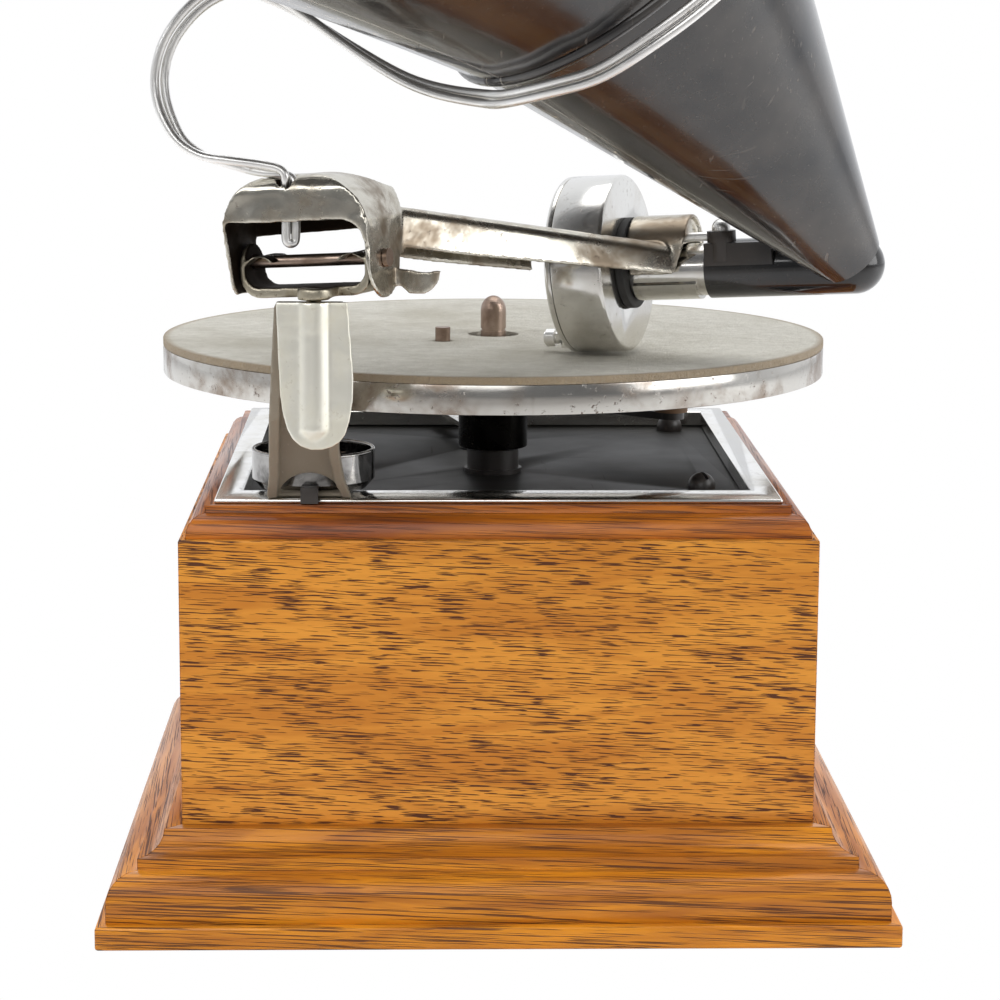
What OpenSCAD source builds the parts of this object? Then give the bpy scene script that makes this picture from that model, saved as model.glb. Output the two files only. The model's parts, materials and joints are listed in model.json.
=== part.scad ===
// Small front-mounted horn gramophone: wooden case, spring motor, turntable,
// hinged carrying arm with soundbox, elbow and horn.
// Origin at the centre of the underside, below the turntable spindle. Z is up.
// The carrying arm stands at -Y and the crank at +Y.

/* [Case] */
// Width and depth of the plate under the plinth
plinth_w = 199; // [196:0.5:203]
// Thickness of the plinth plate
plate_h = 5.9; // [4.5:0.1:7]
// Width and depth of the wooden box
case_w = 158.8; // [157:0.2:161]
// Thickness of the box walls
wall_t = 9; // [7:0.5:10]
// Height of the top edge of the box walls
case_top = 98.8; // [96:0.2:102]
// Extra depth of the case behind the turntable
case_extra = 15; // [14:0.5:17]
// Width of the nickel frame around the bedplate
frame_w = 142; // [140:0.5:144]
// Width of the side and rear strips of the frame
frame_strip = 6.7; // [5.5:0.1:8]
// Width of the front strip of the frame
front_strip = 13.5; // [11:0.5:15]
// Thickness of the bedplate
bed_t = 2; // [1.5:0.1:2.5]

/* [Turntable] */
// Radius of the turntable
table_r = 89; // [86:0.5:91]
// Height of the turntable rim
rim_h = 7.5; // [6:0.5:9]
// Radius of the hub below the turntable
hub_r = 9.4; // [8.5:0.1:11]
// Thickness of the felt
felt_t = 1.9; // [1.4:0.1:2]
// Radius of the spindle
spindle_r = 3.45; // [3.2:0.05:3.6]
// Length of the spindle above the felt
spindle_up = 10.4; // [8:0.2:14]
// Radius of the drive pin
pin_r = 2; // [1.5:0.1:2.3]

/* [Motor] */
// Radius of the four motor pillars
pillar_r = 4.5; // [3.5:0.1:5]
// Module of the train gears
train_m = 0.7; // [0.65:0.05:0.7]
// Height of the mainspring barrel
barrel_h = 24; // [20:1:25]
// Turns of the mainspring
spring_turns = 7; // [4:1:9]
// Radius of the governor disc
disc_r = 11; // [9:0.5:12]
// Length of the crank arm between its two axes
crank_len = 46; // [38:1:48]
// Radius of the crank knob
knob_r = 8.5; // [7:0.5:10]

/* [Bracket] */
// Width of the bracket foot
foot_w = 20.6; // [18:0.2:22]
// Sheet thickness of the bracket
bracket_t = 1.6; // [1.3:0.1:2]
// Radius of the vertical pivot pin
pivot_r = 1.6; // [1.3:0.1:1.8]
// Radius of the rim of the needle cup
cup_r = 15.6; // [14:0.2:16]
// Height of the needle cup
cup_h = 8.3; // [7:0.1:10]
// Width of the bracket's flanges, seen from the front
flange_w = 2.6; // [2:0.1:3.2]

/* [Arm] */
// Turn of the arm head to the right, seen from above
head_turn = 22; // [20:0.5:24]
// Radius of the hinge pin
hinge_r = 1.5; // [1.2:0.1:1.7]
// Width inside the swivel bracket, between its ears
ear_gap = 30.6; // [29:0.2:31]
// Height of the hood above the hinge pin
hood_h = 20.5; // [18:0.5:22]
// Radius of the hood's upper corners
hood_round = 13; // [10:0.5:14]
// Width of the arm trough
trough_w = 17; // [15:0.5:17.5]
// Depth of the arm trough
trough_h = 10; // [9:0.5:11]
// Sheet thickness of the arm
arm_t = 1; // [0.8:0.1:1.2]
// Radius of the throat tube
throat_r = 6.6; // [6.2:0.1:6.8]

/* [Soundbox] */
// Radius of the soundbox
box_r = 22.4; // [21:0.1:22.4]
// Thickness of the soundbox
box_t = 15; // [13:0.5:15.5]
// Radius of the rubber bush behind the soundbox
bush_r = 11.5; // [10:0.5:12.5]

/* [Horn] */
// Half angle of the horn cone in degrees
cone_half = 19.17; // [18.8:0.01:19.4]
// Distance from the cone's apex to the bead ring
bead_s = 126.6; // [124:0.1:127.2]
// Length of the bell beyond the bead ring
bell_len = 113; // [80:1:120]
// Radius of the bead ring's wire
bead_r = 1.6; // [1.2:0.1:1.7]
// Wall thickness of the horn
horn_t = 0.85; // [0.6:0.05:1]
// Radius of the horn wire
wire_r = 1.1; // [0.9:0.05:1.15]

/* [Hidden] */
$fn = 64;
fit = 0.05;
seat = 0.1;
eps = 0.01;

// Heights of the case
moulding_top = 26.5;
bed_z = case_top + 4.2;
bed_under = bed_z - bed_t;
ledge_z = case_top + 7.7;
frame_z = ledge_z + 1.2;
case_half = case_w / 2;
rear_y = case_half + case_extra;
top_extra = rear_y - 77.8;

// Heights of the turntable
rim_low = bed_z + 28.3;
table_z = rim_low + rim_h;
felt_z = table_z + felt_t;
spindle_top = felt_z + spindle_up;
drive_pin_at = [-13.8, -15.5];

// Motor plate and arbors
plate_z = 44;
plate_t = 2.5;
plate_top = plate_z + plate_t;
screw_x = 54.3;
screw_y = [-31, 73.5];
barrel_at = [-33, 3];
barrel_z = 50;
great_n = 80;
wheel_n = 60;
spindle_n = 14;
inter_n = 12;
great_r = great_n * train_m / 2;
inter_r = inter_n * train_m / 2;
wheel_r = wheel_n * train_m / 2;
spindle_pr = spindle_n * train_m / 2;
// The intermediate arbor stands where both meshes have their centre distance
mesh_a = wheel_r + spindle_pr;
mesh_b = great_r + inter_r;
barrel_d = norm(barrel_at);
along_d = (mesh_a * mesh_a - mesh_b * mesh_b + barrel_d * barrel_d) / (2 * barrel_d);
across_d = sqrt(mesh_a * mesh_a - along_d * along_d);
to_barrel = barrel_at / barrel_d;
inter_at = [along_d * to_barrel.x - across_d * to_barrel.y, along_d * to_barrel.y + across_d * to_barrel.x];
wheel_z = 88;
// Worm and governor
worm_m = 0.8;
worm_n = 36;
worm_starts = 2;
worm_r = 4;
worm_z = 79;
worm_x = worm_n * worm_m / 2 + worm_r;
lug_y = [-40, 42];
// Winding
crown_n = 32;
crown_r = 14;
crown_m = 2 * crown_r / crown_n;
crank_n = 12;
crank_pr = crank_n * crown_m / 2;
crown_z = 84;
crank_z = crown_z + 0.95 + crank_pr;
crank_turn = -28;
// Levers under the turntable
brake_at = [2, 52];
pad_at = [49.5, 10];
tail_at = [-13.5, 92];
speed_at = [-4, 40];

// Bracket
post_x = -47.1;
pivot_at = [-44.3, -111];
cup_at = [-46.9, -52.2];
// Arm head: origin at the middle of the hinge pin, X along the pin
head_at = [-44.6, -100, bed_z + 67];
head_tilt = 4;
cheek_in = ear_gap / 2 + 1.75;
cheek_out = cheek_in + 1.2;
trough_at = [18.1, 12.35, 11.5];
trough_turn = [-7.4, 11.4, 50.6];
trough_len = 78;
tube_y = 78.8;
tube_z = -11.4;
drum_z = -9.2;
drum_back = 51.6;
drum_front = drum_back - box_t;
elbow_x = 73.6;
elbow_end = 110.5;
elbow_r = 7.35;

// Horn: origin at the apex of its cone, Z along its axis
horn_az = 208.3;
horn_lean = 43.2;
horn_small = 23.5;
elbow_s = 21.6;
bead_ring_r = bead_s * tan(cone_half) + 0.2;
function horn_axis() = [sin(horn_lean) * cos(horn_az), sin(horn_lean) * sin(horn_az), cos(horn_lean)];
function head_x() = [cos(head_tilt) * cos(head_turn), -cos(head_tilt) * sin(head_turn), sin(head_tilt)];
function head_y() = [sin(head_turn), cos(head_turn), 0];
function head_z() = cross(head_x(), head_y());
function head_point(p) = head_at + p.x * head_x() + p.y * head_y() + p.z * head_z();
horn_at = head_point([elbow_end, tube_y, tube_z]) - elbow_s * horn_axis();
// Radius of the bell at the distance d beyond the bead ring
function bell_r(d) = bead_ring_r + 0.2 + 0.49 * d + 0.00075 * d * d;

// Helpers

// One straight side of a moulding, facing +X and longer by d at its rear end
module mitred_side(profile, top, d = 0) {
  intersection() {
    translate([0, d / 2, 0])
      rotate([90, 0, 0])
        linear_extrude(240 + d, center = true)
          polygon(profile);
    linear_extrude(top)
      polygon([[20, seat - 20], [120, seat - 120], [120, 120 + d - seat], [20, 20 + d - seat]]);
  }
}

// A solid of revolution about X, from a profile of [radius, x]
module turned_x(profile) {
  rotate([0, 90, 0])
    rotate([0, 0, 180])
      rotate_extrude()
        polygon(profile);
}

// A tube or a rod along X
module rod_x(r, from, to) {
  translate([from, 0, 0])
    rotate([0, 90, 0])
      cylinder(r = r, h = to - from);
}

// A rod along Y
module rod_y(r, from, to) {
  translate([0, from, 0])
    rotate([-90, 0, 0])
      cylinder(r = r, h = to - from);
}

// A rod between two points
module link(a, b, r) {
  d = b - a;
  translate(a)
    rotate([0, acos(d.z / norm(d)), atan2(d.y, d.x)])
      cylinder(r = r, h = norm(d));
}

// A flat bar with round ends between two points of a plane
module flat_bar(a, b, r, h) {
  d = b - a;
  linear_extrude(h) {
    translate(a)
      circle(r + 0.3);
    translate(b)
      circle(r + 0.1);
    translate(a)
      rotate(atan2(d.y, d.x))
        translate([0, -r])
          square([norm(d), 2 * r]);
  }
}

// A slotted screw with a domed head, standing at the origin
module domed_screw(head_r, head_h, shank_r, shank) {
  dome = head_h - head_r;
  difference() {
    union() {
      cylinder(r = head_r, h = dome);
      translate([0, 0, dome])
        intersection() {
          sphere(head_r);
          cylinder(r = head_r, h = head_r);
        }
      translate([0, 0, -shank])
        cylinder(r = shank_r, h = shank);
    }
    rotate(35)
      translate([-head_r, -0.45, head_h - 1.5])
        cube([2 * head_r, 0.9, 2]);
  }
}

// Involute function in degrees, and half the angle of a tooth at one radius
function inv(a) = tan(a) * 180 / PI - a;
function half_tooth(n, m, q, slack) =
  90 / n * (1 - slack) + inv(20) - inv(acos(min(1, n * m * cos(20) / (2 * q))));
function polar(r, a) = [r * cos(a), r * sin(a)];

// Outline of a spur gear with n teeth
module gear_outline(n, m, slack = 0.2) {
  low = n * m / 2 - 1.15 * m;
  high = n * m / 2 + 0.85 * m;
  radii = [low, max(low + 0.1, n * m / 2 * cos(20)), n * m / 2, high];
  polygon([
    for (i = [0 : n - 1])
      each concat(
        [for (j = [0 : 3]) polar(radii[j], 360 / n * i - half_tooth(n, m, radii[j], slack))],
        [for (j = [3 : -1 : 0]) polar(radii[j], 360 / n * i + half_tooth(n, m, radii[j], slack))]
      )
  ]);
}

module gear(n, m, h, turn, slack = 0.2) {
  rotate(turn)
    linear_extrude(h)
      gear_outline(n, m, slack);
}

module at_head() {
  translate(head_at)
    rotate([0, -head_tilt, -head_turn])
      children();
}

module at_tube() {
  at_head()
    translate([0, tube_y, tube_z])
      children();
}

module at_drum() {
  at_head()
    translate([0, tube_y, drum_z])
      children();
}

module at_horn() {
  translate(horn_at)
    rotate([0, horn_lean, horn_az])
      children();
}

// Case

module base_board() {
  color("saddlebrown")
    translate([-plinth_w / 2, -plinth_w / 2, 0])
      cube([plinth_w, plinth_w / 2 + rear_y, plate_h]);
}

// Plinth moulding on three sides, cut flush with the back: ovolo, fillet and cove
module base_mouldings() {
  w = plinth_w / 2;
  z = plate_h;
  ovolo = [for (a = [0 : 15 : 75]) [w - 8.5 + 6 * cos(a), z + 5 + 6.8 * sin(a)]];
  cove = [for (a = [0 : 18 : 90]) [w - 10.2 - 5.8 * sin(a), 26.3 - 5.7 * cos(a)]];
  profile = concat(
    [[case_half + fit, z], [w - 2.5, z]],
    ovolo,
    [[w - 8.1, 17.7], [w - 9.8, 17.7], [w - 9.8, 20.6]],
    cove,
    [[w - 16.2, moulding_top], [case_half + fit, moulding_top]]
  );
  color("sienna")
    intersection() {
      union() {
        for (m = [0, 1])
          mirror([m, 0, 0])
            mitred_side(profile, 30, 60);
        rotate(-90)
          mitred_side(profile, 30);
      }
      translate([-110, -110, 0])
        cube([220, 110 + rear_y, 40]);
    }
}

// One wall of the box, facing +X and longer by d at its rear end
module case_wall(d = 0) {
  intersection() {
    translate([case_half - wall_t, -case_half, plate_h])
      cube([wall_t, case_w + d, case_top - plate_h]);
    linear_extrude(case_top)
      polygon([[20, -20], [120, -120], [120, 120 + d], [20, 20 + d]]);
  }
}

module case_front() {
  color("chocolate")
    rotate(-90)
      case_wall();
}

module case_rear() {
  color("chocolate")
    difference() {
      translate([0, case_extra, 0])
        rotate(90)
          case_wall();
      translate([barrel_at.x, 0, crank_z])
        rod_y(4.8, rear_y - wall_t - 1, rear_y + 1);
    }
}

module case_sides() {
  color("chocolate")
    for (m = [0, 1])
      mirror([m, 0, 0])
        case_wall(case_extra);
}

// Top moulding with a rebate for the bedplate
module top_mouldings() {
  rebate = frame_w / 2 - 3.4;
  curve = [for (a = [0 : 18 : 90]) [73.3 + 4.4 * cos(a), case_top + 0.6 + 5.2 * sin(a)]];
  profile = concat(
    [[rebate - 5.6, case_top], [77.8, case_top]],
    curve,
    [[73.1, case_top + 5.8], [73.1, ledge_z], [rebate, ledge_z], [rebate, bed_under], [rebate - 5.6, bed_under]]
  );
  color("sienna") {
    for (m = [0, 1])
      mirror([m, 0, 0])
        mitred_side(profile, ledge_z + 1, top_extra);
    rotate(-90)
      mitred_side(profile, ledge_z + 1);
    translate([0, top_extra, 0])
      rotate(90)
        mitred_side(profile, ledge_z + 1);
  }
}

// Nickel frame: a flat rim with a skirt that stands on the bedplate
module top_frame() {
  half = frame_w / 2;
  in = half - frame_strip;
  front = front_strip - half;
  skirt = 1.2;
  module opening(grow, from, h) {
    translate([-in - grow, front - grow, from])
      cube([2 * (in + grow), in - front + 2 * grow + top_extra, h]);
  }
  color("silver")
    difference() {
      union() {
        translate([-half, -half, ledge_z])
          cube([frame_w, frame_w + top_extra, frame_z - ledge_z]);
        opening(skirt, bed_z, ledge_z - bed_z + eps);
      }
      opening(0, bed_z - 1, 20);
    }
}

// Motor plates and fasteners

module bedplate() {
  half = frame_w / 2 - 3.5;
  color("dimgray")
    difference() {
      translate([-half, -half, bed_under])
        cube([2 * half, 2 * half + top_extra, bed_t]);
      translate([0, 0, bed_under - 1])
        cylinder(r = 7 + fit, h = 4);
      for (x = [-1, 1], y = screw_y)
        translate([x * screw_x, y, bed_under - 1])
          cylinder(r = 1.8 + fit, h = 4);
      translate([brake_at.x, brake_at.y, bed_under - 1])
        cylinder(r = 2 + fit, h = 4);
      translate([speed_at.x, speed_at.y, bed_under - 1])
        cylinder(r = 2.5 + fit, h = 4);
      translate([cup_at.x, cup_at.y, bed_under - 1])
        cylinder(r = 1.6 + fit, h = 4);
    }
}

module motor_screws() {
  color("dimgray")
    for (x = [-1, 1], y = screw_y)
      translate([x * screw_x, y, 0]) {
        translate([0, 0, bed_z])
          rotate(80)
            domed_screw(3.7, 4.8, 1.8, 9);
        translate([0, 0, plate_z])
          rotate([180, 0, 0])
            domed_screw(3.7, 4.2, 1.8, 9);
      }
}

module motor_pillars() {
  color("goldenrod")
    for (x = [-1, 1], y = screw_y)
      translate([x * screw_x, y, 0])
        difference() {
          translate([0, 0, plate_top])
            cylinder(r = pillar_r, h = bed_under - plate_top);
          translate([0, 0, bed_under - 8])
            cylinder(r = 1.8 + fit, h = 9);
          translate([0, 0, plate_top - 1])
            cylinder(r = 1.8 + fit, h = 9);
        }
}

// Lower motor plate with two bent-up lugs for the governor
module lower_plate() {
  color("darkgray")
    difference() {
      union() {
        translate([-62, -46, plate_z])
          cube([124, 126, plate_t]);
        for (y = lug_y)
          translate([worm_x - 4, y - 1, plate_z]) {
            cube([8, 2, worm_z - plate_z]);
            translate([4, 1, worm_z - plate_z])
              rod_y(4, -1, 1);
          }
      }
      for (x = [-1, 1], y = screw_y)
        translate([x * screw_x, y, plate_z - 1])
          cylinder(r = 1.8 + fit, h = 5);
      for (p = [[0, 0, 1.5], [inter_at.x, inter_at.y, 1.2], [barrel_at.x, barrel_at.y, 3]])
        translate([p.x, p.y, plate_z - 1])
          cylinder(r = p.z + fit, h = 5);
      translate([worm_x, 0, worm_z])
        rod_y(1.2 + fit, lug_y[0] - 2, lug_y[1] + 2);
      translate([barrel_at.x + 17, barrel_at.y, plate_z - 1])
        cylinder(r = 1.5 + fit, h = 5);
    }
}

// Turntable and spindle

module spindle_bush() {
  color("dimgray")
    difference() {
      union() {
        translate([0, 0, bed_under - 3])
          cylinder(r = 7, h = bed_z - bed_under + 9.4);
        translate([0, 0, bed_z])
          cylinder(r = 7.8, h = 1.2);
      }
      translate([0, 0, bed_under - 4])
        cylinder(r = spindle_r + fit, h = 20);
    }
}

// Spindle with its pinion leaves cut on it and a bullet-shaped top
module spindle() {
  tip = 4;
  color("rosybrown")
    difference() {
      union() {
        translate([0, 0, plate_z])
          cylinder(r = 1.5, h = 4);
        translate([0, 0, plate_top + 0.3])
          cylinder(r = 2.5, h = 50);
        translate([0, 0, wheel_z - 2])
          gear(spindle_n, train_m, 7, atan2(inter_at.y, inter_at.x));
        translate([0, 0, wheel_z + 6.5])
          cylinder(r = spindle_r, h = spindle_top - tip - wheel_z - 6.5);
        translate([0, 0, spindle_top - tip])
          rotate_extrude()
            polygon(concat([[0, 0]], [for (a = [0 : 10 : 90]) [spindle_r * cos(a), tip * sin(a)]]));
      }
      translate([0, 0, felt_z + 1])
        rotate_extrude()
          translate([spindle_r - 0.3, 0])
            square([2, 0.6]);
    }
}

// Wheel on the spindle with slanted teeth for the two-start worm
module worm_wheel() {
  slant = atan(worm_starts * worm_m / (2 * worm_r));
  root = worm_n * worm_m / 2 - 1;
  color("peru")
    difference() {
      union() {
        translate([0, 0, worm_z - 1.5])
          cylinder(r = root, h = 3);
        translate([0, 0, worm_z - 3.5])
          cylinder(r = 5, h = 7);
        for (i = [0 : worm_n - 1])
          rotate((i + 0.5) * 360 / worm_n)
            translate([root - 0.3, 0, worm_z])
              rotate([-slant, 0, 0])
                linear_extrude(2.6, center = true)
                  polygon([[0, -0.75], [1.9, -0.3], [1.9, 0.3], [0, 0.75]]);
      }
      translate([0, 0, worm_z - 5])
        cylinder(r = 2.5 + fit, h = 10);
    }
}

module turntable() {
  color("silver")
    difference() {
      union() {
        translate([0, 0, rim_low])
          cylinder(r = table_r, h = rim_h, $fn = 128);
        translate([0, 0, bed_z + 7])
          cylinder(r = hub_r, h = table_z - bed_z - 8);
      }
      translate([0, 0, rim_low - 1])
        difference() {
          cylinder(r = table_r - 2.2, h = rim_h - 1, $fn = 128);
          cylinder(r = hub_r, h = rim_h - 1);
        }
      translate([0, 0, bed_z])
        cylinder(r = spindle_r + 0.02, h = 60);
      translate([drive_pin_at.x, drive_pin_at.y, table_z - 3])
        cylinder(r = pin_r + 0.02, h = 5);
    }
}

module turntable_felt() {
  color("darkseagreen")
    translate([0, 0, table_z])
      difference() {
        cylinder(r = table_r, h = felt_t, $fn = 128);
        translate([0, 0, -1])
          cylinder(r = 6.8, h = felt_t + 2);
        translate([drive_pin_at.x, drive_pin_at.y, -1])
          cylinder(r = pin_r + 0.6, h = felt_t + 2);
      }
}

module drive_pin() {
  color("rosybrown")
    translate([drive_pin_at.x, drive_pin_at.y, table_z - 2])
      cylinder(r = pin_r, h = felt_t + 5.6);
}

// Train and spring barrel

module intermediate_arbor() {
  color("lightgray")
    translate([inter_at.x, inter_at.y, 0]) {
      translate([0, 0, plate_z])
        cylinder(r = 1.2, h = 4);
      translate([0, 0, plate_top + 0.3])
        cylinder(r = 2, h = bed_under - plate_top - 1);
      translate([0, 0, barrel_z - 0.6])
        gear(inter_n, train_m, 4, atan2(barrel_at.y - inter_at.y, barrel_at.x - inter_at.x) + 180 / inter_n);
    }
}

module intermediate_wheel() {
  color("goldenrod")
    translate([inter_at.x, inter_at.y, wheel_z])
      difference() {
        union() {
          gear(wheel_n, train_m, 3, atan2(-inter_at.y, -inter_at.x) + 180 / wheel_n);
          translate([0, 0, -2])
            cylinder(r = 4.5, h = 7);
        }
        translate([0, 0, -3])
          cylinder(r = 2 + 0.02, h = 9);
        for (a = [0 : 72 : 288])
          rotate(a)
            translate([12.5, 0, -1])
              cylinder(r = 4.6, h = 5);
      }
}

// Mainspring barrel with the great wheel on its floor
module spring_barrel() {
  color("goldenrod")
    translate([barrel_at.x, barrel_at.y, barrel_z])
      difference() {
        union() {
          gear(great_n, train_m, 2.5, atan2(inter_at.y - barrel_at.y, inter_at.x - barrel_at.x));
          cylinder(r = great_r - 2.4, h = barrel_h);
        }
        translate([0, 0, 2.5])
          cylinder(r = great_r - 3.6, h = barrel_h);
        translate([0, 0, -1])
          cylinder(r = 3 + fit, h = 6);
      }
}

module barrel_lid() {
  color("darkgoldenrod")
    translate([barrel_at.x, barrel_at.y, barrel_z + barrel_h - 1.5])
      difference() {
        cylinder(r = great_r - 3.65, h = 1.5);
        translate([0, 0, -1])
          cylinder(r = 3 + fit, h = 4);
      }
}

// Flat spiral strip from the arbor to the barrel wall
module mainspring() {
  t = 0.6;
  r0 = 6;
  r1 = great_r - 4.1;
  steps = spring_turns * 24;
  function spiral_r(i) = r0 + (r1 - r0) * i / steps;
  color("slategray")
    translate([barrel_at.x, barrel_at.y, barrel_z + 3.5])
      linear_extrude(barrel_h - 6)
        polygon(concat(
          [for (i = [0 : steps]) polar(spiral_r(i), 15 * i)],
          [for (i = [steps : -1 : 0]) polar(spiral_r(i) - t, 15 * i)]
        ));
}

// Winding work

module winding_arbor() {
  color("lightgray")
    translate([barrel_at.x, barrel_at.y, 0]) {
      translate([0, 0, plate_z - 5])
        cylinder(r = 3, h = bed_under - plate_z + 2);
      translate([0, 0, barrel_z + 3])
        cylinder(r = 4.8, h = barrel_h - 5);
    }
}

// Crown wheel with upright teeth for the pinion of the crank shaft
module crown_wheel() {
  color("goldenrod")
    translate([barrel_at.x, barrel_at.y, 0])
      difference() {
        union() {
          translate([0, 0, crown_z - 2.4])
            cylinder(r = crown_r + 2, h = 2.4);
          translate([0, 0, barrel_z + barrel_h + 0.5])
            cylinder(r = 6, h = crown_z - barrel_z - barrel_h - 1);
          for (i = [0 : crown_n - 1])
            rotate((i + 0.5) * 360 / crown_n)
              translate([crown_r - 2, 0, crown_z])
                rotate([90, 0, 90])
                  linear_extrude(4)
                    polygon([[-0.62, -0.2], [0.62, -0.2], [0.32, 1.6], [-0.32, 1.6]]);
        }
        translate([0, 0, 60])
          cylinder(r = 3 + 0.02, h = 40);
      }
}

// Ratchet wheel below the lower plate, which keeps the spring wound
module ratchet_wheel() {
  n = 18;
  r = 10;
  color("lightgray")
    translate([barrel_at.x, barrel_at.y, plate_z - 4])
      difference() {
        linear_extrude(3)
          polygon([for (i = [0 : n - 1]) each [polar(r, i * 360 / n), polar(r - 1.6, (i + 0.05) * 360 / n)]]);
        translate([0, 0, -1])
          cylinder(r = 3.02, h = 5);
      }
}

// Click on its stud beside the ratchet wheel
module click() {
  color("gray")
    translate([barrel_at.x + 17, barrel_at.y, 0]) {
      translate([0, 0, plate_z - 4])
        linear_extrude(3) {
          circle(3);
          polygon([[-2.9, 0.9], [-1, -2.9], [-4.4, -5.2], [-6.8, -3.6]]);
        }
      translate([0, 0, plate_z - 1.2])
        cylinder(r = 1.5, h = plate_t + 2);
    }
}

// Crank shaft with its pinion, running in the bearing and the rear wall
module crank_shaft() {
  color("lightgray")
    translate([barrel_at.x, 0, crank_z]) {
      rod_y(3, barrel_at.y + crown_r - 1.6, rear_y + 6);
      translate([0, barrel_at.y + crown_r + 1.6, 0])
        rotate([90, 0, 0])
          gear(crank_n, crown_m, 3.2, -90, 0.28);
    }
}

module crank_bearing() {
  color("dimgray")
    difference() {
      translate([barrel_at.x - 6, 50, crank_z - 6])
        cube([12, 6, bed_under - crank_z + 6]);
      translate([barrel_at.x, 0, crank_z])
        rod_y(3 + fit, 49, 57);
    }
}

// Bent crank: socket on the shaft, arm, and a pin for the knob
module crank_arm() {
  y0 = rear_y + 1;
  y1 = rear_y + 13;
  end = polar(crank_len, crank_turn);
  color("silver")
    translate([barrel_at.x, 0, crank_z])
      difference() {
        union() {
          rod_y(4.4, y0 - 6, y0 + 8);
          rod_y(3.1, y0 + 7, y1);
          translate([0, y1, 0])
            sphere(3.3);
          link([0, y1, 0], [end.x, y1, end.y], 3.1);
          translate([end.x, 0, end.y]) {
            translate([0, y1, 0])
              sphere(3.3);
            rod_y(2.2, y1, y1 + 34);
            rod_y(3.4, y1 + 31.6, y1 + 33.6);
          }
        }
        rod_y(3 + 0.02, y0 - 8, y0 + 5.2);
      }
}

// Turned wooden knob that spins on the end of the crank
module crank_knob() {
  y1 = rear_y + 13;
  end = polar(crank_len, crank_turn);
  body = [for (a = [0 : 15 : 180]) [5 + (knob_r - 5) * sin(a), 4 + 27 * a / 180]];
  color("saddlebrown")
    translate([barrel_at.x + end.x, y1, crank_z + end.y])
      rotate([-90, 0, 0])
        rotate_extrude()
          polygon(concat([[2.2 + fit, 4]], body, [[2.2 + fit, 31]]));
}

// Governor

// Two-start worm as a twisted outline; the outline has two lobes
module worm_thread(length) {
  lobe = [for (a = [-25, -8, 8, 25]) polar(worm_r + 0.65, a)];
  foot = [for (a = [48, 70, 90, 110, 132]) polar(worm_r - 0.8, a)];
  outline = concat(lobe, foot, -lobe, -foot);
  lead = PI * worm_m * worm_starts;
  rotate(-180 * length / lead)
    linear_extrude(length, twist = -360 * length / lead, slices = 45, $fn = 18)
      polygon(outline);
}

module governor_shaft() {
  color("lightgray")
    translate([worm_x, 0, worm_z]) {
      rod_y(1.2, lug_y[0] - 1.5, lug_y[1] + 1.5);
      rod_y(2, lug_y[0] + 1.3, lug_y[1] - 1.3);
      translate([0, 7, 0])
        rotate([90, 0, 0])
          worm_thread(14);
      rod_y(5, 9.5, 12.5);
      rod_y(4, 28, 31.8);
    }
}

// Three bowed leaf springs between the fixed collar and the sliding disc
module governor_springs() {
  bow = [for (a = [0 : 20 : 180]) [5.45 + 3.2 * sin(a), 10 + 21 * a / 180]];
  inner = [for (i = [len(bow) - 1 : -1 : 0]) bow[i] - [0.35, 0]];
  color("slategray")
    translate([worm_x, 0, worm_z])
      for (a = [0 : 120 : 240])
        rotate([0, a, 0])
          translate([0, 0, -1.75])
            linear_extrude(3.5)
              polygon(concat(bow, inner));
}

module governor_weights() {
  color("goldenrod")
    translate([worm_x, 0, worm_z])
      for (a = [0 : 120 : 240])
        rotate([0, a, 0])
          translate([8.7, 20.5, 0])
            rotate([0, 90, 0])
              cylinder(r = 3, h = 3.6);
}

module governor_disc() {
  color("goldenrod")
    translate([worm_x, 0, worm_z])
      difference() {
        rod_y(disc_r, 32, 34.4);
        rod_y(2.02, 30, 36);
      }
}

// Levers under the turntable

// Regulator lever on top, its shaft through the bedplate, and the friction arm
module speed_lever() {
  pad = [worm_x - 8, 36.2];
  color("silver") {
    translate([speed_at.x, speed_at.y, worm_z - 2])
      cylinder(r = 2.5, h = frame_z + 4.2 - worm_z);
    translate([speed_at.x, speed_at.y, bed_z + 0.3])
      cylinder(r = 4.5, h = frame_z - bed_z + 0.5);
    translate([0, 0, frame_z + 0.4])
      flat_bar(speed_at, [-16.5, 92], 3, 1.4);
    translate([0, 0, worm_z - 2])
      flat_bar(speed_at, pad + [0, 0.5], 2, 4);
  }
}

module brake_stud() {
  color("dimgray")
    translate([brake_at.x, brake_at.y, 0]) {
      translate([0, 0, bed_under])
        cylinder(r = 2, h = bed_t + 16);
      translate([0, 0, bed_z])
        cylinder(r = 3.6, h = 12.9);
      translate([0, 0, bed_z + 15.3])
        cylinder(r = 3.4, h = 1.6);
    }
}

module brake_lever() {
  color("dimgray")
    difference() {
      translate([0, 0, bed_z + 13])
        union() {
          flat_bar(brake_at, pad_at, 3.4, 2);
          flat_bar(tail_at, brake_at, 3, 2);
          translate([tail_at.x, tail_at.y, 0])
            cylinder(r = 2.6, h = 5);
        }
      translate([brake_at.x, brake_at.y, bed_z + 10])
        cylinder(r = 2 + fit, h = 10);
    }
}

module brake_pad() {
  color("saddlebrown")
    translate([pad_at.x, pad_at.y, bed_z + 15])
      cylinder(r = 4.5, h = 17);
}

// Bracket

// Side profile of the bracket, as [y, z], between its rear and front lines
post_rear = [[-66.6, 4.9], [-71.4, 12], [-84, 27.5], [-92.5, 39], [-97.4, 57.1]];
post_front = [[-107.4, 57.1], [-103, 43], [-94, 28], [-76.5, 11], [-70.8, 4.9]];

module post_side(profile, half) {
  translate([post_x, 0, bed_z])
    rotate([90, 0, 90])
      linear_extrude(2 * half, center = true)
        polygon(profile);
}

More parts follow.
